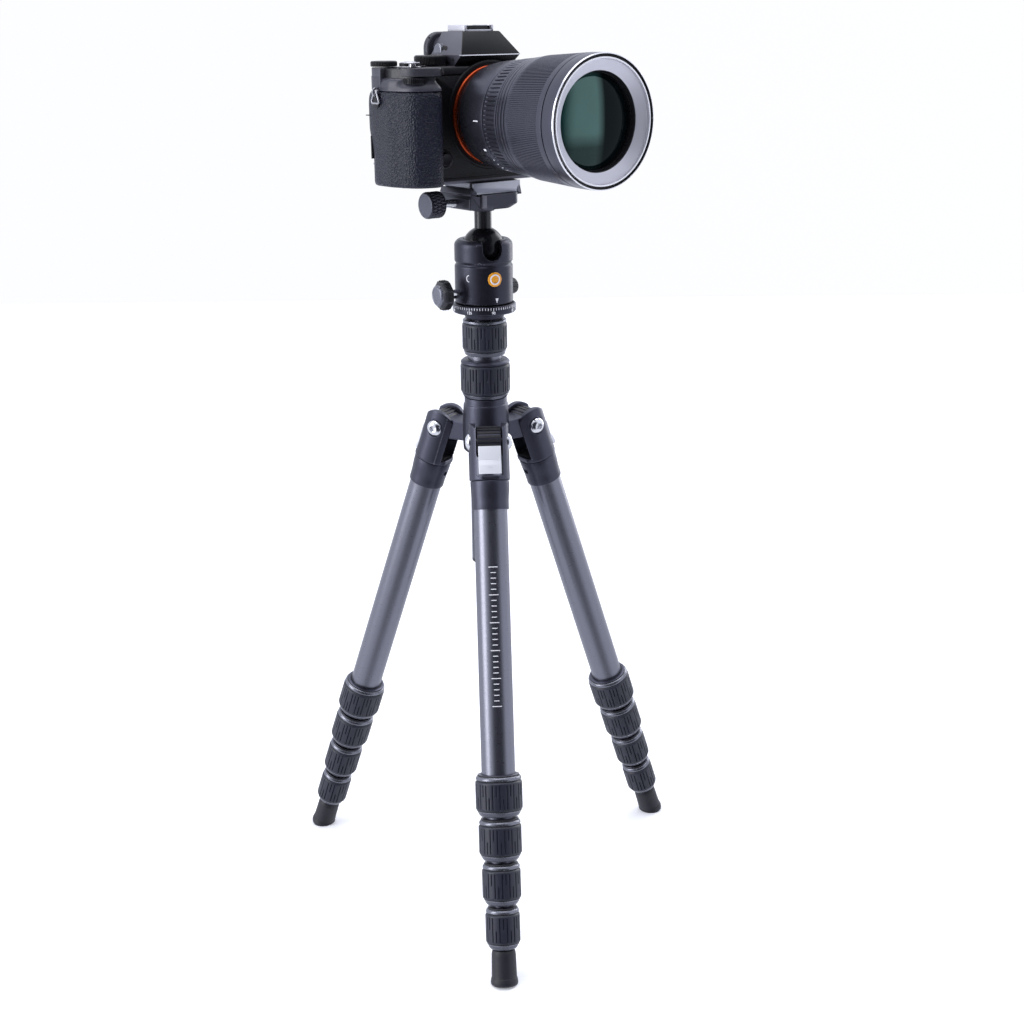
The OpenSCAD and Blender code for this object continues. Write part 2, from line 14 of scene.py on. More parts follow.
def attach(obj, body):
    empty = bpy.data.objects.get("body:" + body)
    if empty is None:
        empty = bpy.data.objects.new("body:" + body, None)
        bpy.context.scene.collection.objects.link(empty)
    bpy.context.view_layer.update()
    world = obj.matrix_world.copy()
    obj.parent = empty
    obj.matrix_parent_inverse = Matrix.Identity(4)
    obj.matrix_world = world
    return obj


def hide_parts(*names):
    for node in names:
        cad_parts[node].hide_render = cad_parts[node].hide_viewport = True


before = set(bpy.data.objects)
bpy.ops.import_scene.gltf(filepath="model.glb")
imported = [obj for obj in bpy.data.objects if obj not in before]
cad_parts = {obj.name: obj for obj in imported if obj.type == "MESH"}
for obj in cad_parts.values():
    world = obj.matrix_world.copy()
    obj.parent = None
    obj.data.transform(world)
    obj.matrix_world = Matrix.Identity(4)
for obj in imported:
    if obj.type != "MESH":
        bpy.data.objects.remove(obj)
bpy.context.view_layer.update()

MM = 0.001
I = Matrix.Identity(4)


# ---------- sizes, as in the CAD ----------

PIVOT_H, PIVOT_R, LEG_ANGLE, LEG_TURN = 332.3, 32.8, 19.2, -34.5
LEG_LEN = PIVOT_H / math.cos(math.radians(LEG_ANGLE))
LOCK_H, LOCK_GAP, FOOT_LEN, SEAT = 27.4, 1.2, 22.4, 20
SEAM_T, CASTING_T, SLOT_W, SLOT_END, FORK_R, EAR_R = 26, 44.6, 17.2, 22.7, 13.3, 12.2
HEAD_R, RING_R, BALL_R, BALL_H, KNOB_H = 19, 20.8, 13.8, 454.3, 425.8
NOTCH_TURN, KNOB_TURN, PAN_KNOB_TURN = -18, -97, 100
CAMERA_H, AXIS_H, PLATE_H = 497.4, 538.4, 568.4
LENS_R = 38.9


def tube_radius(i):
    return 11 - (i - 1) * 1.65


def lock_radius(i):
    return 15.3 - (i - 1) * 1.35


def lock_top(i):
    return LEG_LEN - FOOT_LEN - LOCK_H - (4 - i) * (LOCK_H + LOCK_GAP)


def move(x, y, z):
    return Matrix.Translation((x, y, z))


def turn(degrees, axis):
    return Matrix.Rotation(math.radians(degrees), 4, axis)


def leg_frame(k):
    """Leg k's own frame: pivot at the origin, leg along -Z, outer side towards -Y."""
    return turn(LEG_TURN + 120 * (k - 1), "Z") @ move(0, -PIVOT_R, PIVOT_H) @ turn(-LEG_ANGLE, "X")


LENS = move(0, 0, AXIS_H) @ turn(90, "X")
ACROSS = turn(90, "Y")


# ---------- materials ----------


class Nodes:
    """A material's node tree with short ways to add a node and link it."""

    def __init__(self, name):
        self.material = bpy.data.materials.new(name)
        self.material.use_nodes = True
        self.tree = self.material.node_tree
        self.shader = self.tree.nodes["Principled BSDF"]

    def add(self, kind, **values):
        node = self.tree.nodes.new(kind)
        for key, value in values.items():
            setattr(node, key, value)
        return node

    def link(self, source, target):
        self.tree.links.new(source, target)

    def noise(self, scale, detail=4, stretch=None):
        """Noise in the object's own frame; stretch scales the pattern along each axis."""
        place = self.add("ShaderNodeMapping")
        place.inputs["Scale"].default_value = stretch or (1, 1, 1)
        self.link(self.add("ShaderNodeTexCoord").outputs["Object"], place.inputs["Vector"])
        node = self.add("ShaderNodeTexNoise")
        node.inputs["Scale"].default_value = scale
        node.inputs["Detail"].default_value = detail
        self.link(place.outputs["Vector"], node.inputs["Vector"])
        return node.outputs["Fac"]

    def pebbles(self, scale):
        """Rounded cells, as in leather and crackle coats."""
        node = self.add("ShaderNodeTexVoronoi", feature="SMOOTH_F1")
        node.inputs["Scale"].default_value = scale
        node.inputs["Smoothness"].default_value = 0.35
        self.link(self.add("ShaderNodeTexCoord").outputs["Object"], node.inputs["Vector"])
        return node.outputs["Distance"]

    def spread(self, source, low, high, start=0.3, end=0.7):
        node = self.add("ShaderNodeMapRange")
        for key, value in (("From Min", start), ("From Max", end), ("To Min", low), ("To Max", high)):
            node.inputs[key].default_value = value
        self.link(source, node.inputs["Value"])
        return node.outputs["Result"]

    def bump(self, height, depth, under=None):
        """A bump of the given depth in millimetres, on top of another normal."""
        node = self.add("ShaderNodeBump")
        node.inputs["Strength"].default_value = 1
        node.inputs["Distance"].default_value = depth * MM
        self.link(height, node.inputs["Height"])
        if under:
            self.link(under, node.inputs["Normal"])
        return node.outputs["Normal"]

    def mix(self, amount, one, two):
        """A colour between one and two; each is a colour or a node's output."""
        node = self.add("ShaderNodeMix", data_type="RGBA")
        self.link(amount, node.inputs["Factor"])
        for socket, value in ((node.inputs["A"], one), (node.inputs["B"], two)):
            if isinstance(value, tuple):
                socket.default_value = (*value, 1)
            else:
                self.link(value, socket)
        return node.outputs["Result"]


def shade(colour, factor):
    return tuple(min(1.0, c * factor) for c in colour)


def finish(name, colour, rough, metal=0.0, grain=1500, depth=0.02, mottle=0.15, vary=0.06, wear=None,
           pebble=None, pebble_depth=0.12, brush=None, coat=0.0, specular=0.5):
    """A finish with mottled colour, uneven gloss, fine grain and lighter worn edges."""
    n = Nodes(name)
    s = n.shader.inputs
    s["Metallic"].default_value = metal
    s["Coat Weight"].default_value = coat
    s["Specular IOR Level"].default_value = specular
    cloud = n.noise(45, 6)
    fine = n.noise(grain, 5)
    tone = n.mix(n.spread(cloud, 0, 1), shade(colour, 1 - mottle), shade(colour, 1 + mottle))
    tone = n.mix(n.spread(fine, 0, 1), tone, shade(colour, 1 + mottle * 0.5))
    if wear:
        edge = n.spread(n.add("ShaderNodeNewGeometry").outputs["Pointiness"], 0, 0.8, 0.52, 0.62)
        tone = n.mix(edge, tone, wear)
    n.link(tone, s["Base Color"])
    n.link(n.spread(n.noise(grain * 0.3, 4), rough - vary, rough + vary), s["Roughness"])
    normal = n.bump(fine, depth)
    if pebble:
        normal = n.bump(n.pebbles(pebble), pebble_depth, normal)
    if brush:
        normal = n.bump(n.noise(brush[0], 3, brush[1]), 0.03, normal)
    n.link(normal, s["Normal"])
    return n.material


def glass_finish(name):
    """Coated front glass: near-black depth under a green-teal tinted coat, with a painted teal reflection
    in the base colour and stronger gloss and coat with it, fading out towards one side and weaker low down.
    """
    n = Nodes(name)
    s = n.shader.inputs
    s["Roughness"].default_value = 0.03
    s["Coat Roughness"].default_value = 0.02
    s["Coat IOR"].default_value = 1.6
    # painted reflection: a mask over the -X side, weaker below z 0.524 m, puts teal into the base colour
    # and raises specular and coat there
    split = n.add("ShaderNodeSeparateXYZ")
    n.link(n.add("ShaderNodeTexCoord").outputs["Object"], split.inputs["Vector"])
    side = n.spread(split.outputs["X"], 1, 0, 0.000, 0.006)
    low = n.spread(split.outputs["Z"], 0.25, 1, 0.524, 0.532)
    cover = n.add("ShaderNodeMath", operation="MULTIPLY")
    n.link(side, cover.inputs[0])
    n.link(low, cover.inputs[1])
    deep, pale = (0.0015, 0.003, 0.0035), (0.012, 0.046, 0.044)
    tone = n.mix(n.spread(n.noise(60, 3), 0, 1), (0.006, 0.024, 0.024), pale)
    n.link(n.mix(cover.outputs[0], deep, tone), s["Base Color"])
    n.link(n.spread(cover.outputs[0], 0.06, 0.9, 0, 1), s["Specular IOR Level"])
    n.link(n.spread(cover.outputs[0], 0.05, 0.8, 0, 1), s["Coat Weight"])
    s["Specular Tint"].default_value = (0.45, 1.0, 0.85, 1)
    s["Coat Tint"].default_value = (0.75, 1.0, 0.93, 1)
    n.link(n.bump(n.noise(300, 2), 0.0004), s["Normal"])
    return n.material


STEEL = (0.78, 0.79, 0.82)
M = {
    "casting": finish("leg_casting", (0.070, 0.072, 0.098), 0.37, 0.85, 2600, 0.02,
                      wear=(0.22, 0.225, 0.27)),
    "tube": finish("anodised_tube", (0.112, 0.114, 0.150), 0.30, 0.95, 2200, 0.006, mottle=0.05, vary=0.03,
                   wear=(0.26, 0.265, 0.31)),
    "rubber": finish("lock_rubber", (0.018, 0.020, 0.034), 0.40, 0, 1900, 0.03, wear=(0.045, 0.047, 0.06)),
    "gap": finish("shadow_gap", (0.006, 0.006, 0.008), 0.6, 0, 1500, 0.02),
    "lock_ring": finish("lock_ring", (0.20, 0.205, 0.24), 0.26, 0.85, 2500, 0.01, wear=(0.7, 0.71, 0.76)),
    "lock_end": finish("lock_end", (0.11, 0.113, 0.14), 0.3, 0.7, 2500, 0.01, wear=(0.45, 0.46, 0.5)),
    "foot": finish("foot_rubber", (0.014, 0.0145, 0.021), 0.5, 0, 1600, 0.05, wear=(0.05, 0.05, 0.06)),
    "steel": finish("tab_steel", (0.80, 0.81, 0.86), 0.34, 0.12, 2500, 0.006, mottle=0.04,
                    wear=(0.92, 0.93, 0.96)),
    "bolt": finish("bolt_steel", STEEL, 0.14, 1.0, 2500, 0.006, mottle=0.05, wear=(0.95, 0.95, 0.97)),
    "hook": finish("hook_plastic", (0.018, 0.018, 0.022), 0.42, 0, 1800, 0.02, wear=(0.05, 0.05, 0.06)),
    "head": finish("head_metal", (0.045, 0.046, 0.063), 0.36, 0.85, 3200, 0.02, wear=(0.2, 0.2, 0.24)),
    "ball": finish("ball_metal", (0.009, 0.009, 0.011), 0.22, 0.4, 2600, 0.004, wear=(0.03, 0.03, 0.035)),
    "clamp": finish("clamp_metal", (0.050, 0.051, 0.065), 0.36, 0.8, 3000, 0.015, wear=(0.18, 0.18, 0.21)),
    # lighter speckled metal for the clamp's flat cut face and its serrations: real serrations, with a
    # painted highlight where the face catches light
    "cut": finish("clamp_cut", (0.13, 0.13, 0.15), 0.40, 0.6, 3000, 0.05, mottle=0.35),
    "knurl": finish("knob_metal", (0.050, 0.051, 0.065), 0.34, 0.8, 3000, 0.01, wear=(0.18, 0.18, 0.22)),
    "knob_face": finish("knob_face", (0.10, 0.105, 0.135), 0.40, 0.5, 3000, 0.01,
                        brush=(1400, (0.1, 1, 1)), wear=(0.2, 0.2, 0.24)),
    "knob": finish("knob_rubber", (0.016, 0.0165, 0.022), 0.42, 0, 2500, 0.03, wear=(0.06, 0.06, 0.08)),
    "knob_cap": finish("knob_cap", (0.16, 0.165, 0.20), 0.3, 0.6, 2600, 0.01, wear=(0.6, 0.6, 0.64)),
    # light grey standing for the plate's slanted faces reflecting light: painted sheen
    "plate": finish("plate_metal", (0.25, 0.26, 0.31), 0.42, 0.55, 2600, 0.015, wear=(0.5, 0.51, 0.56)),
    "plate_rubber": finish("plate_rubber", (0.012, 0.012, 0.015), 0.6, 0, 1500, 0.04),
    "shell": finish("camera_shell", (0.0055, 0.0055, 0.0075), 0.32, 0.15, 2400, 0.012,
                    wear=(0.05, 0.05, 0.06)),
    "crackle": finish("camera_leatherette", (0.0032, 0.0032, 0.0045), 0.40, 0, 2400, 0.02,
                      pebble=900, pebble_depth=0.12, specular=0.22),
    "grip": finish("grip_rubber", (0.0105, 0.012, 0.024), 0.38, 0, 2600, 0.03, pebble=860,
                   pebble_depth=0.55, wear=(0.028, 0.031, 0.048), specular=0.38),
    # a lighter plain tone for the grip's smooth strip and the shutter deck: partly a real smooth finish,
    # partly a painted highlight for the top catching light
    "plain_painted_light": finish("plain_painted_light", (0.036, 0.037, 0.047), 0.42, 0, 2600, 0.02, wear=(0.07, 0.07, 0.09)),
    "dial": finish("dial_metal", (0.010, 0.010, 0.012), 0.34, 0.5, 3000, 0.01, wear=(0.08, 0.08, 0.1)),
    # the camera black in a lighter copy, used on faces turned towards the light: painted light
    "side": finish("camera_black_lit_copy", (0.040, 0.041, 0.056), 0.34, 0.1, 2400, 0.012, wear=(0.12, 0.12, 0.15)),
    "front": finish("camera_front", (0.0045, 0.0045, 0.006), 0.42, 0.0, 2400, 0.012, specular=0.25),
    "eyecup": finish("eyecup_rubber", (0.036, 0.037, 0.05), 0.45, 0, 2000, 0.03, wear=(0.09, 0.09, 0.11)),
    "button": finish("button_metal", (0.45, 0.45, 0.48), 0.26, 0.9, 2500, 0.008, brush=(1200, (1, 0.1, 1))),
    "screen": finish("screen_glass", (0.008, 0.009, 0.012), 0.08, 0, 600, 0.001, coat=0.6),
    "mount": finish("mount_ring", (0.36, 0.05, 0.012), 0.24, 0.8, 2600, 0.0005, mottle=0.04, vary=0.02),
    "lens": finish("lens_metal", (0.085, 0.087, 0.114), 0.30, 0.85, 3200, 0.004, mottle=0.06, vary=0.03,
                   wear=(0.16, 0.16, 0.19)),
    "lens_dark": finish("lens_dark", (0.007, 0.007, 0.009), 0.3, 0.3, 3000, 0.01, wear=(0.05, 0.05, 0.06)),
    "silver": finish("rim_silver", (0.64, 0.64, 0.70), 0.36, 0.5, 2600, 0.0005, mottle=0.03, vary=0.02),
    "chrome": finish("chrome_line", (0.88, 0.88, 0.92), 0.16, 0.7, 2600, 0.004, mottle=0.03),
    "glass": glass_finish("lens_glass"),
    "badge": finish("badge_enamel", (0.86, 0.36, 0.02), 0.22, 0, 2000, 0.004, mottle=0.08, coat=0.5),
    "white": finish("marking", (0.80, 0.80, 0.84), 0.45, 0, 2500, 0.004, mottle=0.04),
    "red": finish("marking_red", (0.62, 0.03, 0.02), 0.4, 0, 2500, 0.004, mottle=0.06),
}


# ---------- shapes: (points, faces, material number of each face), in millimetres ----------


def moved(shape, matrix):
    points, faces, index = shape
    return [tuple(matrix @ Vector(p)) for p in points], faces, index


def joined(*shapes):
    points, faces, index = [], [], []
    for p, f, i in shapes:
        start = len(points)
        points += p
        faces += [tuple(v + start for v in face) for face in f]
        index += i
    return points, faces, index


def painted(shape, number):
    return shape[0], shape[1], [number] * len(shape[1])


def soften(profile, bevel, steps=3):
    """Rounds each inner corner of a profile of (radius, height[, bevel[, material]])."""
    rows, number = [], 0
    for i, point in enumerate(profile):
        here = Vector(point[:2])
        size = bevel if len(point) < 3 or point[2] is None else point[2]
        before = number
        number = point[3] if len(point) > 3 else number
        if i in (0, len(profile) - 1) or size <= 0:
            rows.append((*here, number))
            continue
        back, ahead = Vector(profile[i - 1][:2]) - here, Vector(profile[i + 1][:2]) - here
        size = min(size, 0.45 * back.length, 0.45 * ahead.length)
        one, two = here + back.normalized() * size, here + ahead.normalized() * size
        for s in range(steps + 1):
            t = s / steps
            p = one * (1 - t) ** 2 + here * 2 * t * (1 - t) + two * t ** 2
            rows.append((*p, before if t < 0.5 else number))
    return rows


def lathe(profile, seg=96, bevel=0.3, relief=None, step=None, closed=False):
    """A turned form about Z. relief(angle, radius, height) gives the radius at a point."""
    rows = soften(profile, bevel)
    if closed:
        rows.append(rows[0])
    if step:
        finer = []
        for (r0, z0, m0), (r1, z1, m1) in zip(rows, rows[1:]):
            count = max(1, math.ceil(math.hypot(r1 - r0, z1 - z0) / step))
            finer += [(r0 + (r1 - r0) * s / count, z0 + (z1 - z0) * s / count, m0) for s in range(count)]
        rows = finer + [rows[-1]]
    points, faces, index, starts = [], [], [], []
    for r, z, _ in rows[:-1] if closed else rows:
        starts.append((len(points), r < 1e-4))
        if r < 1e-4:
            points.append((0, 0, z))
            continue
        for j in range(seg):
            a = math.tau * j / seg
            q = relief(a, r, z) if relief else r
            points.append((q * math.cos(a), q * math.sin(a), z))
    if closed:
        starts.append(starts[0])
    for (a, pole_a), (b, pole_b), row in zip(starts, starts[1:], rows):
        for j in range(seg):
            n = (j + 1) % seg
            if pole_a and pole_b:
                continue
            if pole_a:
                faces.append((a, b + n, b + j))
            elif pole_b:
                faces.append((a + j, a + n, b))
            else:
                faces.append((a + j, a + n, b + n, b + j))
            index.append(row[2])
    return points, faces, index


def outline(corners, steps=6):
    """A closed loop of (x, y) with each corner (x, y, radius) rounded by an arc."""
    loop = []
    for i, (x, y, radius) in enumerate(corners):
        p = Vector((x, y))
        if radius <= 0:
            loop.append((x, y))
            continue
        u = Vector(corners[i - 1][:2]) - p
        v = Vector(corners[(i + 1) % len(corners)][:2]) - p
        limit = 0.49 * min(u.length, v.length)
        u.normalize(), v.normalize()
        half = math.acos(max(-1, min(1, u.dot(v)))) / 2
        t = min(radius / math.tan(half), limit)
        centre = p + (u + v).normalized() * (t / math.cos(half))
        one, two = p + u * t - centre, p + v * t - centre
        for s in range(steps + 1):
            d = one.lerp(two, s / steps)
            sweep = one.angle(two)
            if sweep > 1e-3:
                w = s / steps
                d = (one * math.sin((1 - w) * sweep) + two * math.sin(w * sweep)) / math.sin(sweep)
            loop.append(tuple(centre + d))
    return loop


def inset(loop, distance):
    """The loop, drawn in by a distance on its inner side."""
    area = sum(a[0] * b[1] - b[0] * a[1] for a, b in zip(loop, loop[1:] + loop[:1]))
    sign = 1 if area > 0 else -1
    out = []
    for i, p in enumerate(loop):
        a, b = Vector(loop[i - 1]), Vector(loop[(i + 1) % len(loop)])
        here = Vector(p)
        e, f = here - a, b - here
        if e.length < 1e-6 or f.length < 1e-6:
            e = f = b - a
        n1 = Vector((-e.y, e.x)).normalized() * sign
        n2 = Vector((-f.y, f.x)).normalized() * sign
        n = (n1 + n2).normalized()
        reach = distance / max(0.5, n.dot(n1))
        out.append(tuple(here + n * reach))
    return out


def loft(rings, number=0, caps=True):
    """A skin through closed loops of 3-D points that all have the same count."""
    count = len(rings[0])
    points = [p for ring in rings for p in ring]
    faces = [
        (r * count + j, r * count + (j + 1) % count, (r + 1) * count + (j + 1) % count, (r + 1) * count + j)
        for r in range(len(rings) - 1)
        for j in range(count)
    ]
    if caps:
        faces.append(tuple(range(count))[::-1])
        faces.append(tuple((len(rings) - 1) * count + j for j in range(count)))
    return points, faces, [number] * len(faces)


def prism(loop, z0, z1, top=0.5, bottom=0.5, steps=3, number=0):
    """An upright form on a loop, with rounded edges at its two ends."""
    rings = []
    for edge, z, way in ((bottom, z0, 1), (top, z1, -1)):
        part = []
        for s in range(steps + 1 if edge > 0 else 1):
            a = math.pi / 2 * s / steps if edge > 0 else math.pi / 2
            ring = inset(loop, edge * (1 - math.sin(a))) if edge > 0 else loop
            part.append([(x, y, z + way * edge * (1 - math.cos(a))) for x, y in ring])
        rings += part if way > 0 else part[::-1]
    return loft(rings, number)


def block(x0, x1, y0, y1, z0, z1, edge=0.3, corner=0.4, number=0):
    return prism(outline([(x0, y0, corner), (x1, y0, corner), (x1, y1, corner), (x0, y1, corner)], 3),
                 z0, z1, edge, edge, 3, number)


def rod(radius, z0, z1, seg=48, edge=0.3, number=0):
    return painted(lathe([(0, z0), (radius, z0), (radius, z1), (0, z1)], seg, edge), number)


def wrapped(shape, radius, angle, height):
    """Lays a flat shape (x across, y up, z outwards) on an upright cylinder; angle is from -Y."""
    points = []
    for x, y, z in shape[0]:
        a = math.radians(angle) + x / radius
        points.append(((radius + z) * math.sin(a), -(radius + z) * math.cos(a), height + y))
    return points, shape[1], shape[2]


def bar(x0, x1, y0, y1, z0=-0.3, z1=0.06, number=0, cuts=1):
    """A thin printed mark, cut across so that it can follow a curve."""
    xs = [x0 + (x1 - x0) * s / cuts for s in range(cuts + 1)]
    rings = [[(x, y0, z0), (x, y1, z0), (x, y1, z1), (x, y0, z1)] for x in xs]
    return loft(rings, number)


def numerals(text, size, number=0, thick=0.06):
    """Flat figures centred on the origin, x across and y up."""
    curve = bpy.data.curves.new("figures", "FONT")
    curve.body, curve.size, curve.align_x, curve.align_y = text, size, "CENTER", "CENTER"
    curve.resolution_u, curve.extrude, curve.offset = 3, thick, 0.02 * size
    ob = bpy.data.objects.new("figures", curve)
    bpy.context.collection.objects.link(ob)
    mesh = bpy.data.meshes.new_from_object(ob.evaluated_get(bpy.context.evaluated_depsgraph_get()))
    shape = ([tuple(v.co) for v in mesh.vertices], [tuple(p.vertices) for p in mesh.polygons],
             [number] * len(mesh.polygons))
    bpy.data.objects.remove(ob), bpy.data.meshes.remove(mesh)
    return shape


def mesh_of(name, shape, scale=MM):
    mesh = bpy.data.meshes.new(name)
    mesh.from_pydata([tuple(c * scale for c in p) for p in shape[0]], [], shape[1])
    mesh.polygons.foreach_set("material_index", shape[2])
    bm = bmesh.new()
    bm.from_mesh(mesh)
    bmesh.ops.remove_doubles(bm, verts=bm.verts, dist=2e-4 * scale)
    bmesh.ops.recalc_face_normals(bm, faces=bm.faces)
    bm.to_mesh(mesh)
    bm.free()
    return mesh


def carved(shape, *steps, voxel=None, smooth=2):
    """The shape after joins and cuts, one at a time; with a voxel size its edges melt into small radii."""
    if len(steps) > 1:
        shape, steps = carved(shape, *steps[:-1]), steps[-1:]
    made = []

    def thing(s):
        ob = bpy.data.objects.new("work", mesh_of("work", s, 1))
        bpy.context.collection.objects.link(ob)
        made.append(ob)
        return ob

    body = thing(shape)
    for operation, other in steps:
        m = body.modifiers.new("cut", "BOOLEAN")
        m.operation, m.solver, m.object = operation, "EXACT", thing(other)
    if voxel:
        m = body.modifiers.new("melt", "REMESH")
        m.mode, m.voxel_size, m.use_smooth_shade = "VOXEL", voxel, True
        m = body.modifiers.new("ease", "SMOOTH")
        m.factor, m.iterations = 0.5, smooth
    mesh = bpy.data.meshes.new_from_object(body.evaluated_get(bpy.context.evaluated_depsgraph_get()))
    result = ([tuple(v.co) for v in mesh.vertices], [tuple(p.vertices) for p in mesh.polygons],
              [p.material_index if p.material_index < 8 else 0 for p in mesh.polygons])
    for ob in made:
        bpy.data.objects.remove(ob)
    bpy.data.meshes.remove(mesh)
    return result


def piece(name, body, shape, *finishes, at=I, stands_for=(), sharp=38):
    """Makes a finished piece that rides on a CAD body."""
    mesh = mesh_of(name, moved(shape, at))
    for f in finishes:
        mesh.materials.append(M[f])
    mesh.shade_smooth()
    mesh.set_sharp_from_angle(angle=math.radians(sharp))
    ob = bpy.data.objects.new(name, mesh)
    bpy.context.collection.objects.link(ob)
    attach(ob, body)
    if stands_for:
        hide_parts(*stands_for)
    return ob


def kept(node, *finishes, sharp=38, edge=0.0):
    """A CAD node that stays, with a finish, smooth shading and slightly rounded edges."""
    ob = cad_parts[node]
    for i, f in enumerate(finishes):
        if i < len(ob.data.materials):
            ob.data.materials[i] = M[f]
        else:
            ob.data.materials.append(M[f])
    ob.data.shade_smooth()
    ob.data.set_sharp_from_angle(angle=math.radians(sharp))
    if edge:
        m = ob.modifiers.new("edge", "BEVEL")
        m.width, m.segments, m.limit_method, m.angle_limit = edge * MM, 2, "ANGLE", math.radians(50)
        m.harden_normals = False
    return ob


# ---------- legs ----------


def ribs(radius, top, bottom, count):
    """Relief of a grip sleeve: full grooves, and between them short ones, high and low by turns."""
    width, depth = 0.42, 0.75
    pitch = math.tau / count

    def groove(distance, fade):
        return depth * max(0.0, min(1.0, (width - distance) / 0.16)) * fade

    def relief(a, r, z):
        if not bottom < z < top:
            return r
        ends = min(1.0, (top - z) / 0.5, (z - bottom) / 0.5)
        cell = a / pitch
        near = abs(cell - round(cell)) * pitch * radius
        cut = groove(near, ends)
        middle = math.floor(cell)
        between = abs(cell - middle - 0.5) * pitch * radius
        half = (top + bottom) / 2
        reach = z - half if middle % 2 == 0 else half - z
        cut = max(cut, groove(between, ends * max(0.0, min(1.0, reach / 0.5))))
        return r - cut

    return relief


def leg_lock(i):
    r, a, b = lock_radius(i), tube_radius(i) + 0.1, tube_radius(i + 1) + 0.1
    count = 2 * round(r * 0.66)
    return lathe([
        (a, -2.4, 0, 0), (a, -0.2, 0), (a + 0.9, -0.1, 0.2, 3), (r - 1.7, -0.3, 0.3, 1),
        (r - 1.6, -1.3, 0.1, 2), (r - 1.0, -1.6, 0.3), (r - 0.45, -2.6, 0.4), (r - 0.45, -3.7, 0.2, 1),
        (r - 1.1, -4.0, 0.1), (r - 0.9, -4.4, 0.1, 0), (r - 0.1, -5.1, 0.5), (r, -5.9, 0.2),
        (r, -22.0, 0.2), (r - 0.25, -23.0, 0.3, 1), (r - 0.9, -23.3, 0.1), (r - 0.7, -23.6, 0.1, 2),
        (r - 1.0, -24.3, 0.2, 4), (r - 2.0, -26.2, 0.3), (r - 2.9, -27.3, 0.3, 1), (b, -27.3, 0),
        (b, -24.0, 0),
    ], 12 * count, 0.2, ribs(r, -5.8, -22.2, count), 0.9)


def bent_tab():
    """Spring tab of bent sheet, drawn in the leg's Y and Z and extruded along X."""
    side = outline([
        (-11.7, -3.7, 0.5), (-10.5, -3.7, 0.5), (-10.3, -12.4, 0.5), (-10.2, -17.8, 0.8),
        (-11.1, -21.7, 0.5), (-13.2, -21.8, 0.7), (-13.5, -20.6, 1.2), (-12.9, -16.2, 2.0),
        (-11.8, -13.2, 0.25), (-11.55, -12.8, 0.2), (-11.75, -12.4, 0.2),
    ], 4)
    pawl = outline([(-10.6, -11.6, 0.4), (-3.8, -13.3, 1.2), (-3.8, -16.8, 1.2), (-10.6, -17.8, 0.4)], 4)
    turned = Matrix(((0, 0, 1, 0), (1, 0, 0, 0), (0, 1, 0, 0), (0, 0, 0, 1)))
    body = joined(prism(side, -7.3, 7.3, 0.4, 0.4), prism(pawl, -5, 5, 0.4, 0.4))
    lines = joined(*[moved(block(-2.6 + s, 2.6 - s, -0.2, 0.2, -0.15, 0.18, 0.1, 0.12),
                           move(0, -13.15 - 0.12 * j, -17.3 - 1.2 * j) @ turn(82, "X"))
                     for j, s in enumerate((0.8, 0.2))])
    return joined(moved(body, turned), lines)


def fork():
    """Fork casting with two round ears, the slot, the bolt seats and a melted edge."""
    ears = joined(moved(rod(EAR_R, -FORK_R, FORK_R, 96, 1.2), ACROSS))
    body = carved(
        joined(lathe([(0, -SEAM_T + 0.3), (FORK_R - 0.2, -SEAM_T + 0.3), (FORK_R, -SEAM_T + 1),
                      (FORK_R, EAR_R), (0, EAR_R)], 96, 0.3)),
        ("INTERSECT", carved(ears, ("UNION", block(-FORK_R, FORK_R, -EAR_R, EAR_R, -SEAM_T, 0, 0, 0.1)))),
        ("DIFFERENCE", block(-SLOT_W / 2, SLOT_W / 2, -20, 20, -SLOT_END, 30, 0, 0)),
        ("DIFFERENCE", moved(rod(6.0, FORK_R - 1.3, FORK_R + 4, 64, 0), ACROSS)),
        ("DIFFERENCE", moved(rod(6.0, -FORK_R - 4, -FORK_R + 1.3, 64, 0), ACROSS)),
        ("DIFFERENCE", moved(rod(3.1, -20, 20, 32, 0), ACROSS)),
        voxel=0.36, smooth=3,
    )
    return body


def collar():
    """Sleeve under the fork that takes the tube, with its round hole on the inner side."""
    sleeve = lathe([(9.9, -SEAM_T + 1.2), (11.6, -SEAM_T + 1.2), (11.8, -SEAM_T + 0.1, 0.1),
                    (12.75, -SEAM_T - 0.1, 0.3), (12.6, -32, 3), (12.1, -38, 3), (12.1, -CASTING_T, 0.3),
                    (10.9, -CASTING_T, 0.2), (10.9, -CASTING_T + 3),
                    (9.9, -CASTING_T + 3)], 128, closed=True)
    hole = moved(rod(1.8, 0, 12, 40, 0), move(0, 7, -33) @ turn(-90, "X"))
    cone = moved(lathe([(0, 0), (1.8, 0), (2.6, 1.2), (0, 1.2)], 40, 0), move(0, 11.3, -33) @ turn(-90,
        "X"))
    return carved(sleeve, ("DIFFERENCE", hole), ("DIFFERENCE", cone))


def foot(k):
    """Rubber foot and the last tube above it, flat where it stands on the floor."""
    at = leg_frame(k) @ move(0, 0, -LEG_LEN)
    shape = lathe([(0, -1.9), (6.6, -1.9, 0.6), (8.7, -0.9, 1.2), (9.0, 0.9, 0.9), (8.55, 3.4, 0.3),
                   (8.45, 3.7, 0.1, 1), (8.25, 3.9, 0.1, 0), (7.95, 18.8, 0.4), (7.5, 21.0, 0.5),
                   (7.1, 21.8, 0.3), (4.6, 21.8, 0)],
                  96, 0.3)
    points = [tuple(at @ Vector(p)) for p in shape[0]]
    return [(x, y, max(z, 0.0)) for x, y, z in points], shape[1], shape[2]


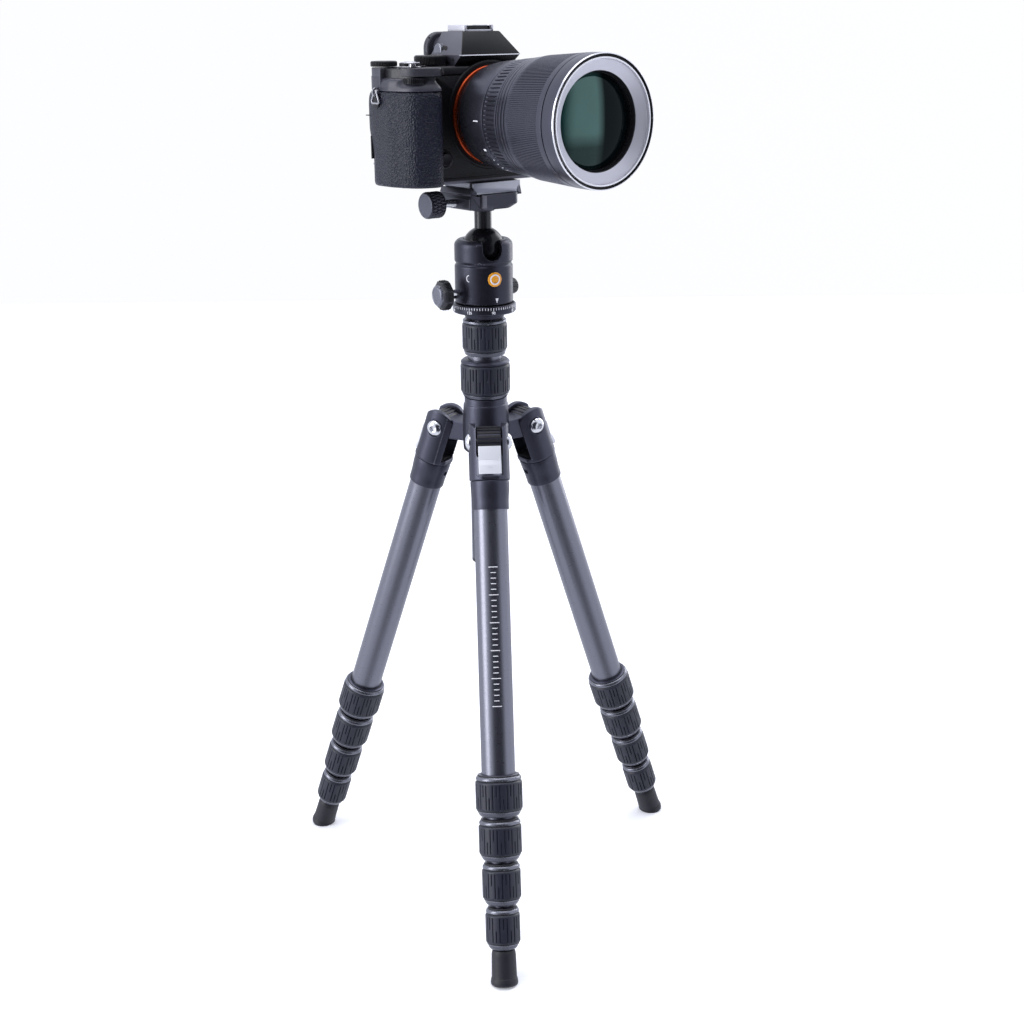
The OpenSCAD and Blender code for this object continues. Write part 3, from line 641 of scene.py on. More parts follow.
def bolt(side=1):
    """Domed head with a six-sided socket, outside one ear."""
    def socket(a, r, z):
        if r > 2.3:
            return r
        return r * 0.92 / math.cos((a % (math.pi / 3)) - math.pi / 6)

    head = lathe([(0, 11.2), (5.45, 11.2, 0.1), (5.45, 12.8, 0.2), (5.2, 13.5, 0.4), (4.3, 14.5, 0.5),
                  (3.2, 15.1, 0.4), (2.5, 15.3, 0.2), (2.1, 15.1, 0.1), (2.1, 13.2, 0.1),
                  (0, 12.8)], 72, 0.2, socket)
    return moved(head, turn(90 * side, "Y"))


FORK, COLLAR, TAB = fork(), collar(), bent_tab()
LOCKS = {i: leg_lock(i) for i in range(1, 5)}
TUBE = lathe([(11, -26.4), (11, -lock_top(1) - SEAT + 0.4), (10, -lock_top(1) - SEAT + 0.4), (10, -26.4)],
             128, 0, closed=True)
# a near-black sheet over the floor of the fork's slot: painted shade
SLOT_SHADE_SHEET = block(-SLOT_W / 2 + 0.1, SLOT_W / 2 - 0.1, -8, 9, -SLOT_END - 0.4, -SLOT_END + 0.15, 0.1, 0.3)

for k in (1, 2, 3):
    at = leg_frame(k)
    upper = f"leg_{k}_upper"
    piece(f"leg_{k}_fork", upper, FORK, "casting", at=at, stands_for=[upper], sharp=60)
    piece(f"leg_{k}_collar", upper, COLLAR, "casting", at=at)
    piece(f"leg_{k}_tube", upper, TUBE, "tube", at=at)
    piece(f"leg_{k}_slot_painted_shade", upper, SLOT_SHADE_SHEET, "gap", at=at)
    piece(f"leg_{k}_tab", f"leg_{k}_angle_tab", TAB, "steel", at=at, stands_for=[f"leg_{k}_angle_tab"])
    for i in range(1, 5):
        piece(f"leg_{k}_grip_{i}", f"leg_{k}_lock_{i}", LOCKS[i], "rubber", "gap", "lock_ring", "tube",
              "lock_end",
              at=at @ move(0, 0, -lock_top(i)), stands_for=[f"leg_{k}_lock_{i}"], sharp=30)
    for i in range(2, 5):
        kept(f"leg_{k}_section_{i}", "tube")
    last = f"leg_{k}_section_5"
    r5 = tube_radius(5)
    piece(f"leg_{k}_foot", last, foot(k), "foot", "gap", stands_for=[last])
    inner = lathe([(r5, -68), (r5, -83.2, 0), (r5, -LEG_LEN + FOOT_LEN - 12),
                   (r5 - 1, -LEG_LEN + FOOT_LEN - 12), (r5 - 1, -68), (r5, -68)], 64, 0)
    bush = lathe([(r5 - 0.5, -71.1), (tube_radius(4) - 1.06, -71.1), (tube_radius(4) - 1.06, -82.9),
                  (r5 - 0.5, -82.9)], 64, 0.2, closed=True)
    piece(f"leg_{k}_last_tube", last, joined(inner, painted(bush, 1)), "tube", "hook", at=at)

piece("pivot_bolt_heads", "spider", joined(*[moved(bolt(side), leg_frame(k)) for k in (1, 2, 3)
                                             for side in (1, -1)],
      *[moved(rod(2.95, -11.5, 11.5, 32, 0), leg_frame(k) @ ACROSS) for k in (1, 2, 3)]),
      "bolt", stands_for=["pivot_bolts"], sharp=28)

ticks = joined(*[wrapped(bar(-w, w, -0.28, 0.28, cuts=6), 11, 0, -82 - 3.6 * n)
                 for n in range(26) for w in [3.1 if n % 5 == 0 else 1.7]])
piece("leg_1_scale", "leg_1_upper", ticks, "white", at=leg_frame(1))


# ---------- spider and column ----------

hub = lathe([(11.1, 318), (14.2, 318, 0.4), (15.4, 319.2, 0.8), (15.75, 326, 2), (15.7, 337, 2),
             (14.95, 349.6, 0.4), (14.75, 350.5, 0.2), (14.2, 350.9, 0.2), (14.2, 354.9, 0.4),
             (13.6, 355.3, 0.2), (11.1, 355.3)], 128,
            closed=True)


def lug():
    """Arm of the spider with its saddle, towards -Y."""
    width = SLOT_W - 0.8
    w = width / 2
    side = outline([(-8, PIVOT_H - 8, 0.5), (-PIVOT_R, PIVOT_H - 8, 1), (-PIVOT_R, PIVOT_H + 9.2, 3),
                    (-24, PIVOT_H + 6.2, 5), (-15, PIVOT_H + 5.2, 2), (-8, PIVOT_H + 5.2, 0.5)], 5)
    turned = Matrix(((0, 0, 1, 0), (1, 0, 0, 0), (0, 1, 0, 0), (0, 0, 0, 1)))
    arm = moved(prism(side, -w, w, 0.8, 0.8), turned)
    drum = moved(rod(9.5, -w, w, 96, 0.6), move(0, -PIVOT_R, PIVOT_H) @ ACROSS)
    return carved(arm, ("UNION", drum))


LUG = carved(lug(), voxel=0.42, smooth=3)
spider = joined(hub, *[moved(LUG, turn(LEG_TURN + 120 * (k - 1), "Z")) for k in (1, 2, 3)])
piece("spider_hub", "spider", spider, "casting", stands_for=["spider"], sharp=60)


def teeth(a, r, z):
    """Ratchet teeth around the drum, on the side that the tab reaches."""
    place = (math.degrees(a) % 17) / 17
    return r - 1.3 * max(0.0, 1 - abs(place - 0.5) / 0.26) if r > 9 else r


drum = lathe([(3.1, -7.9), (9.7, -7.9), (10.1, -7.6), (10.1, 7.6), (9.7, 7.9), (3.1, 7.9)], 256, 0.1, teeth)
piece("spider_teeth", "spider", joined(*[moved(drum, leg_frame(k) @ ACROSS) for k in (1, 2, 3)]), "hook",
      sharp=25)

kept("column_outer_tube", "tube")
kept("column_inner_tube", "tube")
kept("bag_hook", "hook")


def column_grip(r, low, high, inner, crown):
    """A column lock; crown is the wide bevelled ring at its top, or a thin one."""
    count = 2 * round(r * 0.66)
    foot_h = 2.5 if crown else 3.0
    foot_r = r - 1.8 if crown else r - 1.7
    top = high - (2.9 if crown else 2.2)
    rows = [(inner, low + 2), (inner, low + 0.05), (foot_r, low + 0.05, 0.2, 2),
            (r - 0.9, low + foot_h - 0.4, 0.5), (r - 1.3, low + foot_h - 0.1, 0.1, 1),
            (r - 1.1, low + foot_h + 0.2, 0.1, 0), (r - 0.5, low + foot_h + 0.5, 0.3),
            (r, low + foot_h + 1.6, 0.6), (r, top - 1.6, 0.6), (r - 0.6, top - 0.4, 0.3),
            (r - 1.1, top - 0.1, 0.1, 1), (r - 1.0, top + 0.15, 0.1, 3)]
    if crown:
        rows += [(r - 0.2, top + 0.6, 0.3), (r - 0.3, top + 1.4, 0.3), (r - 1.9, high - 0.1, 0.4),
                 (inner, high - 0.1), (inner, high - 2)]
    else:
        rows += [(r - 0.5, top + 0.3, 0.2), (r - 0.5, high - 0.5, 0.3), (r - 1.2, high - 0.05, 0.2),
                 (inner, high - 0.05), (inner, high - 2)]
    return lathe(rows, 12 * count, 0.2, ribs(r, top - 1.7, low + foot_h + 1.8, count), 0.9)


piece("column_lower_grip", "column_lower_lock", column_grip(16.5, 355.7, 381.0, 11.1, True),
      "rubber", "gap", "lock_end", "casting", stands_for=["column_lower_lock"], sharp=30)
piece("column_upper_grip", "column_upper_lock", column_grip(14.9, 384.0, 407.7, 9.5, False),
      "rubber", "gap", "lock_end", "lock_ring", stands_for=["column_upper_lock"], sharp=30)


# ---------- ball head ----------

base = lathe([(0, 408.3), (12.6, 408.3, 0.5), (13.5, 411.6, 0.8), (13.5, 412.6, 0.2, 0), (20.0, 412.6, 0.4),
              (20.75, 413.4, 0.4), (20.75, 417.6, 0.4), (20.1, 418.5, 0.3), (19.2, 418.6, 0.2, 1),
              (12, 418.6), (12, 424), (0, 424)], 192, 0.3)
piece("pan_base_ring", "column_inner_tube", base, "head", "gap", stands_for=["pan_base"])
marks = []
for n in range(72):
    tall = 2.1 if n % 9 == 0 else 1.5
    marks.append(wrapped(bar(-0.2, 0.2, -tall, 0, cuts=2), RING_R - 0.04, 5 * n - 20, 417.8))
for n, figure in enumerate(("90", "45", "0", "45", "90", "135", "180", "135")):
    marks.append(wrapped(numerals(figure, 2.5), RING_R - 0.04, 45 * n - 20, 414.5))
piece("degree_scale", "column_inner_tube", joined(*marks), "white")

shell = lathe([(0, 418.9), (18.4, 418.9), (19, 419.5, 0.4), (19, 443.3, 0.9), (18.1, 444.2, 0.35),
               (18.1, 445.2, 0.35), (19, 446.1, 0.9), (19, 456.6, 1.2), (18.5, 458.2, 1.2),
               (16.4, 460.2, 0.8), (0, 460.2)], 256,
               0.3)
hollow = lathe([(0, BALL_H), (BALL_R + 0.15, BALL_H), (13.2, BALL_H + 2.2), (12.7, BALL_H + 3.6),
                (13.6, 461.5), (0, 461.5)],
               128, 0)
bowl = lathe([(0, BALL_H - BALL_R - 0.1)] + [((BALL_R + 0.15) * math.sin(a),
                                              BALL_H - (BALL_R + 0.15) * math.cos(a), 0)
             for a in (math.pi / 2 * s / 24 for s in range(1, 25))] + [(BALL_R + 0.15, BALL_H + 0.4),
                 (0, BALL_H + 0.4)], 128, 0)
notch = joined(moved(rod(6.4, 6, 30, 64, 0), move(0, 0, BALL_H) @ turn(90, "X")))
slit = block(-6.4, 6.4, -30, -6, BALL_H, BALL_H + 12, 0.05, 0.1)
housing = carved(shell, ("DIFFERENCE", hollow), ("DIFFERENCE", bowl),
                 ("DIFFERENCE", moved(notch, turn(NOTCH_TURN, "Z"))),
                 ("DIFFERENCE", moved(slit, turn(NOTCH_TURN, "Z"))), voxel=0.3, smooth=2)
piece("housing_shell", "head_housing", housing, "head", stands_for=["head_housing"], sharp=60)

disc = joined(prism(outline([(4.7 * math.cos(a), 4.7 * math.sin(a), 0) for a in
                             (math.tau * s / 48 for s in range(48))]), -0.3, 0.45, 0.25, 0, 3))
piece("badge_disc", "head_housing", wrapped(disc, 19, -15, 436), "badge")
ring = lathe([(2.5, -0.1), (3.4, -0.1), (3.4, 0.12), (2.5, 0.12)], 48, 0.05, closed=True)
piece("badge_ring", "head_housing", wrapped(moved(ring, move(0, 0, 0.45)), 19, -15, 436), "white")
arrow = prism(outline([(-1.1, 1.5, 0.1), (0, -1.7, 0.1), (1.1, 1.5, 0.1)], 2), -0.3, 0.06, 0, 0)
piece("index_mark", "head_housing", wrapped(arrow, 19, -11, 422.2), "white")
arc = loft([[(1.9 * math.cos(a) * q, 1.9 * math.sin(a) * q, h) for q, h in ((1, -0.3), (1.3, -0.3),
    (1.3, 0.06), (1, 0.06))]
            for a in (math.radians(100 + 16 * s) for s in range(11))])
piece("lock_mark", "head_housing", wrapped(arc, 19, -66, 436.5), "white")

kept("ball", "ball")
kept("ball_stem", "ball")

KNOB = turn(KNOB_TURN, "Z") @ move(0, 0, KNOB_H) @ turn(90, "X")


def octagon(radius, height, round_r=1.3):
    corners = [(radius * math.cos(a), radius * math.sin(a), round_r)
               for a in (math.radians(22.5 + 45 * s) for s in range(8))]
    return [(x, y, height) for x, y in outline(corners, 4)]


grip = loft([octagon(6.6, 26.7), octagon(8.6, 26.9), octagon(9.6, 27.8), octagon(9.85, 29),
             octagon(9.6, 31.6),
             octagon(8.9, 32.8), octagon(7.9, 33.6), octagon(7.4, 33.9)])
cap = painted(lathe([(0, 33.4), (7.0, 33.4), (6.7, 35.0, 0.4), (5.6, 35.8, 0.3), (4.9, 35.4, 0.2),
                     (0, 35.4)], 64, 0.3), 1)
shaft = painted(lathe([(0, 13.6), (3, 13.6), (3, 25.2), (4.4, 25.6), (4.4, 27.2), (0, 27.2)], 48, 0.2), 2)
dots = []
for s in range(8):
    for row in range(4):
        for col in range(5):
            dot = painted(lathe([(0.5, -0.2), (0.48, 0.26), (0.34, 0.42), (0, 0.48)], 8, 0), 3)
            at = turn(45 * s, "Z") @ move(9.02, -2.5 + 1.25 * col, 28.2 + 1.15 * row) @ turn(90, "Y")
            dots.append(moved(dot, at))
piece("ball_lock_grip", "ball_lock_knob", joined(grip, cap, shaft, *dots), "knob", "knob_cap", "bolt",
      "gap", at=KNOB,
      stands_for=["ball_lock_knob"])


def flutes(count, depth, low, high):
    def relief(a, r, z):
        return r - depth * max(0.0, math.cos(a * count)) ** 2 if low < z < high else r
    return relief


PAN = turn(PAN_KNOB_TURN, "Z") @ move(0, 0, KNOB_H) @ turn(90, "X")
thumb = lathe([(0, 21.6), (4.9, 21.6), (5.4, 22.2), (5.4, 28), (4.6, 28.9, 0.5), (0, 28.9)], 144, 0.3,
              flutes(12, 0.5, 22, 28.2), 0.8)
pin = painted(lathe([(0, 14.6), (2, 14.6), (2, 21.8), (0, 21.8)], 32, 0.1), 1)
piece("pan_lock_grip", "pan_lock_knob", joined(thumb, pin), "knob", "bolt", at=PAN,
      stands_for=["pan_lock_knob"])


# ---------- clamp and quick-release plate ----------


def diamonds(count, pitch, depth, low, high):
    """Crossed knurling."""
    def relief(a, r, z):
        if not low < z < high:
            return r
        one = (a * count / math.tau + z / pitch) % 1
        two = (a * count / math.tau - z / pitch) % 1
        cut = max(max(0.0, 1 - abs(one - 0.5) / 0.22), max(0.0, 1 - abs(two - 0.5) / 0.22))
        return r - depth * cut
    return relief


# round bed, cut straight towards the jaw, with a deep bevel underneath
def bed_ring(radius, height):
    loop = [(-13.0, -math.sqrt(radius ** 2 - 13 ** 2)), (-13.0, math.sqrt(radius ** 2 - 13 ** 2))]
    first = math.atan2(loop[1][1], -13.0)
    for s in range(1, 64):
        a = first - 2 * first * s / 64
        x, y = radius * math.cos(a), radius * math.sin(a)
        loop.append((x, max(-17.0, min(17.0, y))))
    return [(x, max(-17.0, min(17.0, y)), height) for x, y in loop]


bed = loft([bed_ring(17.5, 480.4), bed_ring(18.2, 480.35), bed_ring(22.2, 482.9), bed_ring(22.45, 483.3),
            bed_ring(22.45, 489.3), bed_ring(22.0, 489.8)])
lip_shape = outline([(16.5, 488.0, 0.1), (16.5, 491.6, 0.2), (18.8, 493.85, 0.3), (21.0, 493.85, 0.8),
                     (22.3, 488.0, 0.3)], 4)
lip = moved(prism([(-x, z) for x, z in lip_shape][::-1], -12.6, 12.6, 0.4, 0.4), turn(180, "Z") @ turn(90,
    "X"))
piece("clamp_bed", "clamp_body", joined(bed, lip), "clamp", stands_for=["clamp_body"])
collar_nut = lathe([(0, 478.0), (7.4, 478.0, 0.4), (7.9, 479.2, 0.3), (7.9, 480.5), (0, 480.5)], 64)
piece("clamp_washer", "clamp_body", collar_nut, "clamp")

jaw_shape = outline([(-13.6, 480.75, 0.3), (-13.6, 489.7, 0.2), (-16.5, 489.7, 0.15), (-16.5, 491.6, 0.2),
                     (-18.8, 493.85, 0.3), (-20.8, 493.85, 1.0), (-22.3, 490.6, 0.6), (-21.4, 489.6, 0.5),
                     (-22.5, 487.6, 0.6), (-22.5, 480.75, 1.2)], 4)
jaw = moved(prism(jaw_shape, -16.4, 16.4, 0.6, 0.6), turn(90, "X"))
jaw_tooth = prism(outline([(0, -0.5, 0.1), (0.45, 0, 0.1), (0, 0.5, 0.1)], 2), 481.6, 489.0, 0.1, 0.1)
serration = joined(*[moved(jaw_tooth, move(-12.98, y, 0) @ turn(180, "Z"))
                     for y in (-16.0, -15.0, -14.0, 14.0, 15.0, 16.0)])
piece("clamp_jaw_block", "clamp_jaw", jaw, "clamp", stands_for=["clamp_jaw"])
# a lighter patch on the bed's flat front face and on the jaw serrations: painted highlight where the cut
# face catches light
piece("clamp_edge_painted_highlight", "clamp_body", joined(block(-13.1, -9.4, -17.05, -16.6, 481.6, 489.4, 0.2, 0.15),
                                             serration), "cut")

knob_axis = move(0, 0, 484.5) @ turn(-90, "Y")
head = lathe([(0, 33.6), (5.2, 33.6, 0.3), (7.5, 34.0, 0.4), (8.4, 34.9, 0.3), (8.4, 44.3, 0.3),
              (7.7, 45.2, 0.25, 1), (6.9, 45.6, 0.3), (6.5, 45.3, 0.15), (6.2, 45.35, 0.1),
              (0, 45.35)], 192, 0.2,
             diamonds(22, 6.6, 0.75, 34.8, 44.4), 0.42)
screw = painted(lathe([(0, 3.2), (2.5, 3.2, 0.3), (2.5, 33.8), (0, 33.8)], 48, 0.2,
                      lambda a, r, z: r - 0.18 * max(0.0, math.cos(math.tau * z / 0.8 - a)), 0.2), 2)
piece("clamp_knob_head", "clamp_knob", joined(head, screw), "knurl", "knob_face", "bolt", at=knob_axis,
      stands_for=["clamp_knob"])


def dovetail(grow=0.0):
    return outline([(-18.75 + grow, 497.35, 0.25), (-18.75 + grow, 494.2, 0.2), (-16.2 + grow, 491.6, 0.2),
                    (-16.2 + grow, 490.05, 0.2), (16.2 - grow, 490.05, 0.2), (16.2 - grow, 491.6, 0.2),
                    (18.75 - grow, 494.2, 0.2), (18.75 - grow, 497.35, 0.25)], 3)


def along_y(loop, y0, y1, front, rear, number=0):
    """A form on a loop of (x, z), rounded by front at its y0 end and by rear at its y1 end."""
    return moved(prism(loop, -y1, -y0, front, rear, 3, number), turn(90, "X"))


plate = joined(along_y(dovetail(), -15.4, -14.3, 0.25, 0.25),
               # a shallow recessed band from y -14.4 to -11.3 in the near-black rubber finish: painted
               # shade in the groove
               along_y(dovetail(0.7), -14.4, -11.3, 0.05, 0.05, 1),
               along_y(dovetail(), -11.4, 15.4, 0.25, 0.25),
               block(-17.5, 17.5, -14.6, 14.6, 497.0, 497.42, 0.05, 0.5, 1))
stud = painted(lathe([(0, 490.5), (7.5, 490.5, 0.4), (7.5, 492.9, 0.2), (3.1, 492.9), (3.1, 501.8, 0.3),
                      (0, 501.8)], 64), 2)
slot_mark = block(-0.75, 0.75, -6.6, 6.6, 490.3, 490.62, 0.05, 0.2, 3)
piece("plate_shell", "camera", joined(plate, stud, slot_mark), "plate", "plate_rubber", "button", "gap",
      stands_for=["quick_plate"])


# ---------- camera ----------


def hull(circles, centre=(-57, 1), count=180, grow=0.0, ease=8):
    """Points at even angles around the outline of circles (x, y, radius)."""
    dots = sorted({(round(x + (r + grow) * math.cos(a), 4), round(y + (r + grow) * math.sin(a), 4))
                   for x, y, r in circles for a in (math.tau * s / 72 for s in range(72))})

    def chain(row):
        line = []
        for p in row:
            while len(line) > 1 and ((line[-1][0] - line[-2][0]) * (p[1] - line[-2][1])
                                     - (line[-1][1] - line[-2][1]) * (p[0] - line[-2][0])) <= 0:
                line.pop()
            line.append(p)
        return line[:-1]

    edge, out = chain(dots) + chain(dots[::-1]), []
    for s in range(count):
        dx, dy = math.cos(math.tau * s / count), math.sin(math.tau * s / count)
        for a, b in zip(edge, edge[1:] + edge[:1]):
            ex, ey, ax, ay = b[0] - a[0], b[1] - a[1], a[0] - centre[0], a[1] - centre[1]
            den = dx * ey - dy * ex
            if abs(den) < 1e-9:
                continue
            t, u = (ax * ey - ay * ex) / den, (ax * dy - ay * dx) / den
            if t > 0 and -1e-6 <= u <= 1 + 1e-6:
                out.append(t)
                break
    for _ in range(ease):
        out = [(out[i - 2] + 2 * out[i - 1] + 3 * out[i] + 2 * out[(i + 1) % count]
                + out[(i + 2) % count]) / 9
               for i in range(count)]
    return [(centre[0] + t * math.cos(math.tau * s / count), centre[1] + t * math.sin(math.tau * s / count))
            for s, t in enumerate(out)]


def clipped(loop, a, b, c):
    """The part of a convex loop where a x + b y >= c."""
    out = []
    for p, q in zip(loop, loop[1:] + loop[:1]):
        one, two = a * p[0] + b * p[1] - c, a * q[0] + b * q[1] - c
        if one >= 0:
            out.append(p)
        if one * two < 0:
            t = one / (one - two)
            out.append((p[0] + (q[0] - p[0]) * t, p[1] + (q[1] - p[1]) * t))
    return out


HAND = [(-65, 1, 6), (-67, 18, 4), (-58.5, -12.5, 8), (-48.5, -18, 5.5), (-46, -9, 3), (-46, 15, 3)]


def smooth(low, high, value):
    t = max(0.0, min(1.0, (value - low) / (high - low)))
    return t * t * (3 - 2 * t)


def hand_ring(z, inset_by, thumb):
    circles = HAND + [(-67, 18 + 4.4 * thumb, 4), (-57, 17 + 4.2 * thumb, 4)]
    return [(x, y, z) for x, y in hull(circles, grow=-inset_by, ease=16)]


rings = []
for z, off in ((497.45, 2.2), (497.6, 1.3), (498.1, 0.6), (499, 0.15), (500.2, 0), (508, 0), (515, 0),
               (519, 0), (521.5, 0), (524, 0), (526.5, 0), (529, 0), (532, 0), (536, 0), (540, 0), (544, 0),
               (547, 0), (549.5, 0), (551.5, 0.1), (553, 0.4), (554.1, 1.0), (554.7, 2.0)):
    rings.append(hand_ring(z, off, smooth(516, 534, z) * (1 - 0.3 * smooth(546, 555, z))))
wrap = loft(rings)
# the smooth strip takes the lighter plain finish: a real smooth band, painted lighter as if lit
strip = block(-71.12, -69, 7.4, 16.0, 498.4, 551.0, 0.15, 0.3, 1)
seam = block(-71.08, -69, 16.0, 24.5, 539.6, 540.1, 0.02, 0.05, 2)
slot = block(-71.1, -69, 18.9, 20.1, 513.8, 527.6, 0.05, 0.3, 2)
gap_line = block(-71.14, -69, 15.8, 16.1, 498.4, 551.0, 0.02, 0.05, 2)
gap_two = block(-71.14, -69, 7.2, 7.5, 498.4, 551.0, 0.02, 0.05, 2)
mark = block(-71.3, -69, 8.9, 12.4, 523.4, 528.0, 0.05, 0.4, 3)
dimple = moved(lathe([(0, 0), (1.0, 0), (0.7, 0.4), (0, 0.2)], 24, 0.05),
               move(-70.9, 16.6, 511) @ turn(-90, "Y"))
piece("grip_wrap", "camera", joined(wrap, strip, seam, slot, gap_line, gap_two, mark, painted(dimple, 3)),
      "grip", "plain_painted_light", "gap", "lock_ring", stands_for=["hand_grip"], sharp=50)

# shell with its leather panels, base plate and boss
BODY = [(-62, 20, 1.0), (-62, -6, 1.0), (-55, -10, 2.0), (49, -10, 4), (55, -4, 5), (55, 14, 5),
        (49, 20, 4)]
body_loop = outline(BODY[::-1], 6)
small_loop = inset(body_loop, 0.35)
shell_shape = joined(
    prism(body_loop, CAMERA_H + 0.05, 501.2, 0.25, 0.9),
    prism(small_loop, 501.0, 501.6, 0, 0, 1, 1),
    prism(small_loop, 501.4, PLATE_H - 5.0, 0.2, 0.2),
    prism(small_loop, PLATE_H - 5.2, PLATE_H - 4.2, 0, 0, 1, 1),
)
piece("body_shell", "camera", shell_shape, "front", "gap", stands_for=["camera_body"])


def panel(x0, x1, z0, z1, y, depth, corner, number=0):
    """A flat panel on the front (negative depth) or the back (positive) of the camera."""
    face = outline([(x0, z0, corner), (x1, z0, corner), (x1, z1, corner), (x0, z1, corner)], 4)
    low, high = sorted((y, y + depth))
    return moved(prism(face, -high, -low, 0.15, 0.15, 2, number), turn(90, "X"))


front_panel = joined(panel(-42, 49, 502.4, 562.8, -9.8, -0.35, 1.2),
                     panel(54.5, 54.9, 503, 562, -3.6, 17, 1.0))
back_panel = panel(-33, 52, 501.8, 562.8, 19.5, 0.45, 1.0)
piece("leather_panels", "camera", joined(front_panel, back_panel), "crackle")

boss = moved(painted(lathe([(26, 8.5), (33.5, 8.5), (33.45, 10.0, 0.3), (32.9, 10.95, 0.4),
                            (31.6, 10.95, 0.2), (31.4, 10.7, 0.1), (26, 10.7)], 160, 0.3), 0), LENS)
piece("lens_boss_ring", "camera", boss, "front")
release = moved(joined(lathe([(0, 9.5), (5.6, 9.5), (5.6, 11.6, 0.5), (4.6, 11.9, 0.3), (4.3, 11.2, 0.2),
                              (3.9, 11.2, 0.1), (3.8, 13.4, 0.5), (3.1, 13.3, 0.3), (0, 12.9)], 64, 0.2)),
                              LENS @ move(-37, -25.5, 0))
# a strip of the lighter side finish along the lower front edge of the body: painted highlight
painted_highlight_foot_strip = block(-40, 46, -10.35, -8.5, CAMERA_H + 0.05, 499.6, 0.5, 0.6, 1)
piece("release_button", "camera", joined(release, painted_highlight_foot_strip), "dial", "side")

# top cover: core under the hand side, shoulder, corner block, shutter deck and plate
deck_loop = hull(HAND, grow=-0.5)
core = prism(hull(HAND, grow=-3.6), 554.6, PLATE_H - 0.6, 0.6, 0, 3)
rings = []
for z, front_off, side_off in ((554.75, 0.5, 0.7), (555.6, 0.5, 0.6), (556.8, 0.9, 0.6), (558.2, 1.9, 0.7),
                               (559.6, 3.0, 0.9), (560.8, 3.7, 1.3), (561.8, 4.0, 2.0), (562.4, 4.1, 3.7)):
    front_loop, side_loop = hull(HAND, grow=-front_off), hull(HAND, grow=-side_off)
    ring = []
    for (fx, fy), (sx, sy) in zip(front_loop, side_loop):
        w = 1 - smooth(-10, -4, fy)
        ring.append((fx * w + sx * (1 - w), fy * w + sy * (1 - w), z))
    rings.append(ring)
# the shoulder and the corner blocks take the lighter side finish, and the shutter deck takes the lighter
# plain finish: painted light on the tops and on the side turned to the light; a thin sheet of shell finish
# keeps the corner block's front face dark
shoulder = loft(rings, 1)
low_block = prism(clipped(deck_loop, 0, 1, 7.7), 555.5, 563.4, 0.25, 0.1, 3, 1)
high_block = prism(clipped(clipped(deck_loop, 0, 1, 7.7), 0, -1, -17.3), 563.0, PLATE_H - 0.05, 0.5, 0, 3,
                   1)
inner_block = prism(clipped(clipped(hull(HAND, grow=-4.5), 0, 1, 15), 1, 0, -66), 563.0, PLATE_H - 0.2, 0.3,
                    0, 3, 0)
deck = prism(clipped(deck_loop, -0.3, -1, 30), 563.4, PLATE_H, 0.9, 0.35, 4, 2)
dark_front = block(-70.4, -55, 7.3, 7.9, 562.5, PLATE_H - 0.4, 0.1, 0.1, 0)
lamp = joined(*[moved(block(-1.7, 1.7, -0.5, 0.5, -0.16 + 0.72 * j, 0.16 + 0.72 * j, 0.05, 0.1, 0),
                      move(-44.6, -21.3, 564.4) @ turn(38, "Z")) for j in range(5)])
plate_top = prism(small_loop, PLATE_H - 4.3, PLATE_H - 0.1, 1.1, 0.1, 4, 0)
piece("top_plate", "camera", joined(core, shoulder, low_block, high_block, inner_block, deck, dark_front,
                                    lamp, plate_top),
      "shell", "side", "plain_painted_light", stands_for=["top_cover"], sharp=45)

# front command dial, in the slot under the shutter deck
wheel = lathe([(0, 558.9), (7.6, 558.9, 0.4), (7.6, 562.3, 0.4), (0, 562.3)], 160, 0.3,
              flutes(40, 0.35, 558.5, 562.8), 0.7)
piece("front_dial", "camera", moved(wheel, move(-58.3, -12.3, 0)), "dial")
rear_wheel = lathe([(0, 563.7), (6.8, 563.7, 0.4), (6.8, 567.2, 0.4), (0, 567.2)], 160, 0.3,
                   flutes(40, 0.35, 563.2, 567.8), 0.7)
piece("rear_dial", "camera", moved(rear_wheel, move(-57.5, 16.2, 0)), "dial")


def hump_ring(x, y0, y1, z, corner=0.5):
    return [(px, py, z) for px, py in outline([(-x, y0, corner), (x, y0, corner), (x, y1, corner),
                                               (-x, y1, corner)], 3)]


hump = loft([hump_ring(22.4, -2.6, 20.6, 567.8), hump_ring(22.9, -7.2, 20.8, 571.6),
             hump_ring(23, -10.4, 21, 574.0),
             hump_ring(23, -11, 21, 574.6), hump_ring(23, -11, 21, 575.0),
             hump_ring(14.7, -1.5, 20.6, 588.1),
             hump_ring(14.2, -0.9, 20.2, 588.55), hump_ring(13.6, -0.3, 19.6, 588.6)])


def coloured(shape, rule):
    """Sets each face's material number by rule(centre, normal)."""
    points, faces, index = shape
    out = []
    for face, number in zip(faces, index):
        ring = [Vector(points[v]) for v in face]
        centre = sum(ring, Vector()) / len(ring)
        normal = Vector()
        for p, q in zip(ring, ring[1:] + ring[:1]):
            normal += (p - centre).cross(q - centre)
        out.append(rule(centre, normal.normalized() if normal.length > 1e-9 else Vector((0, 0, 1)), number))
    return points, faces, out


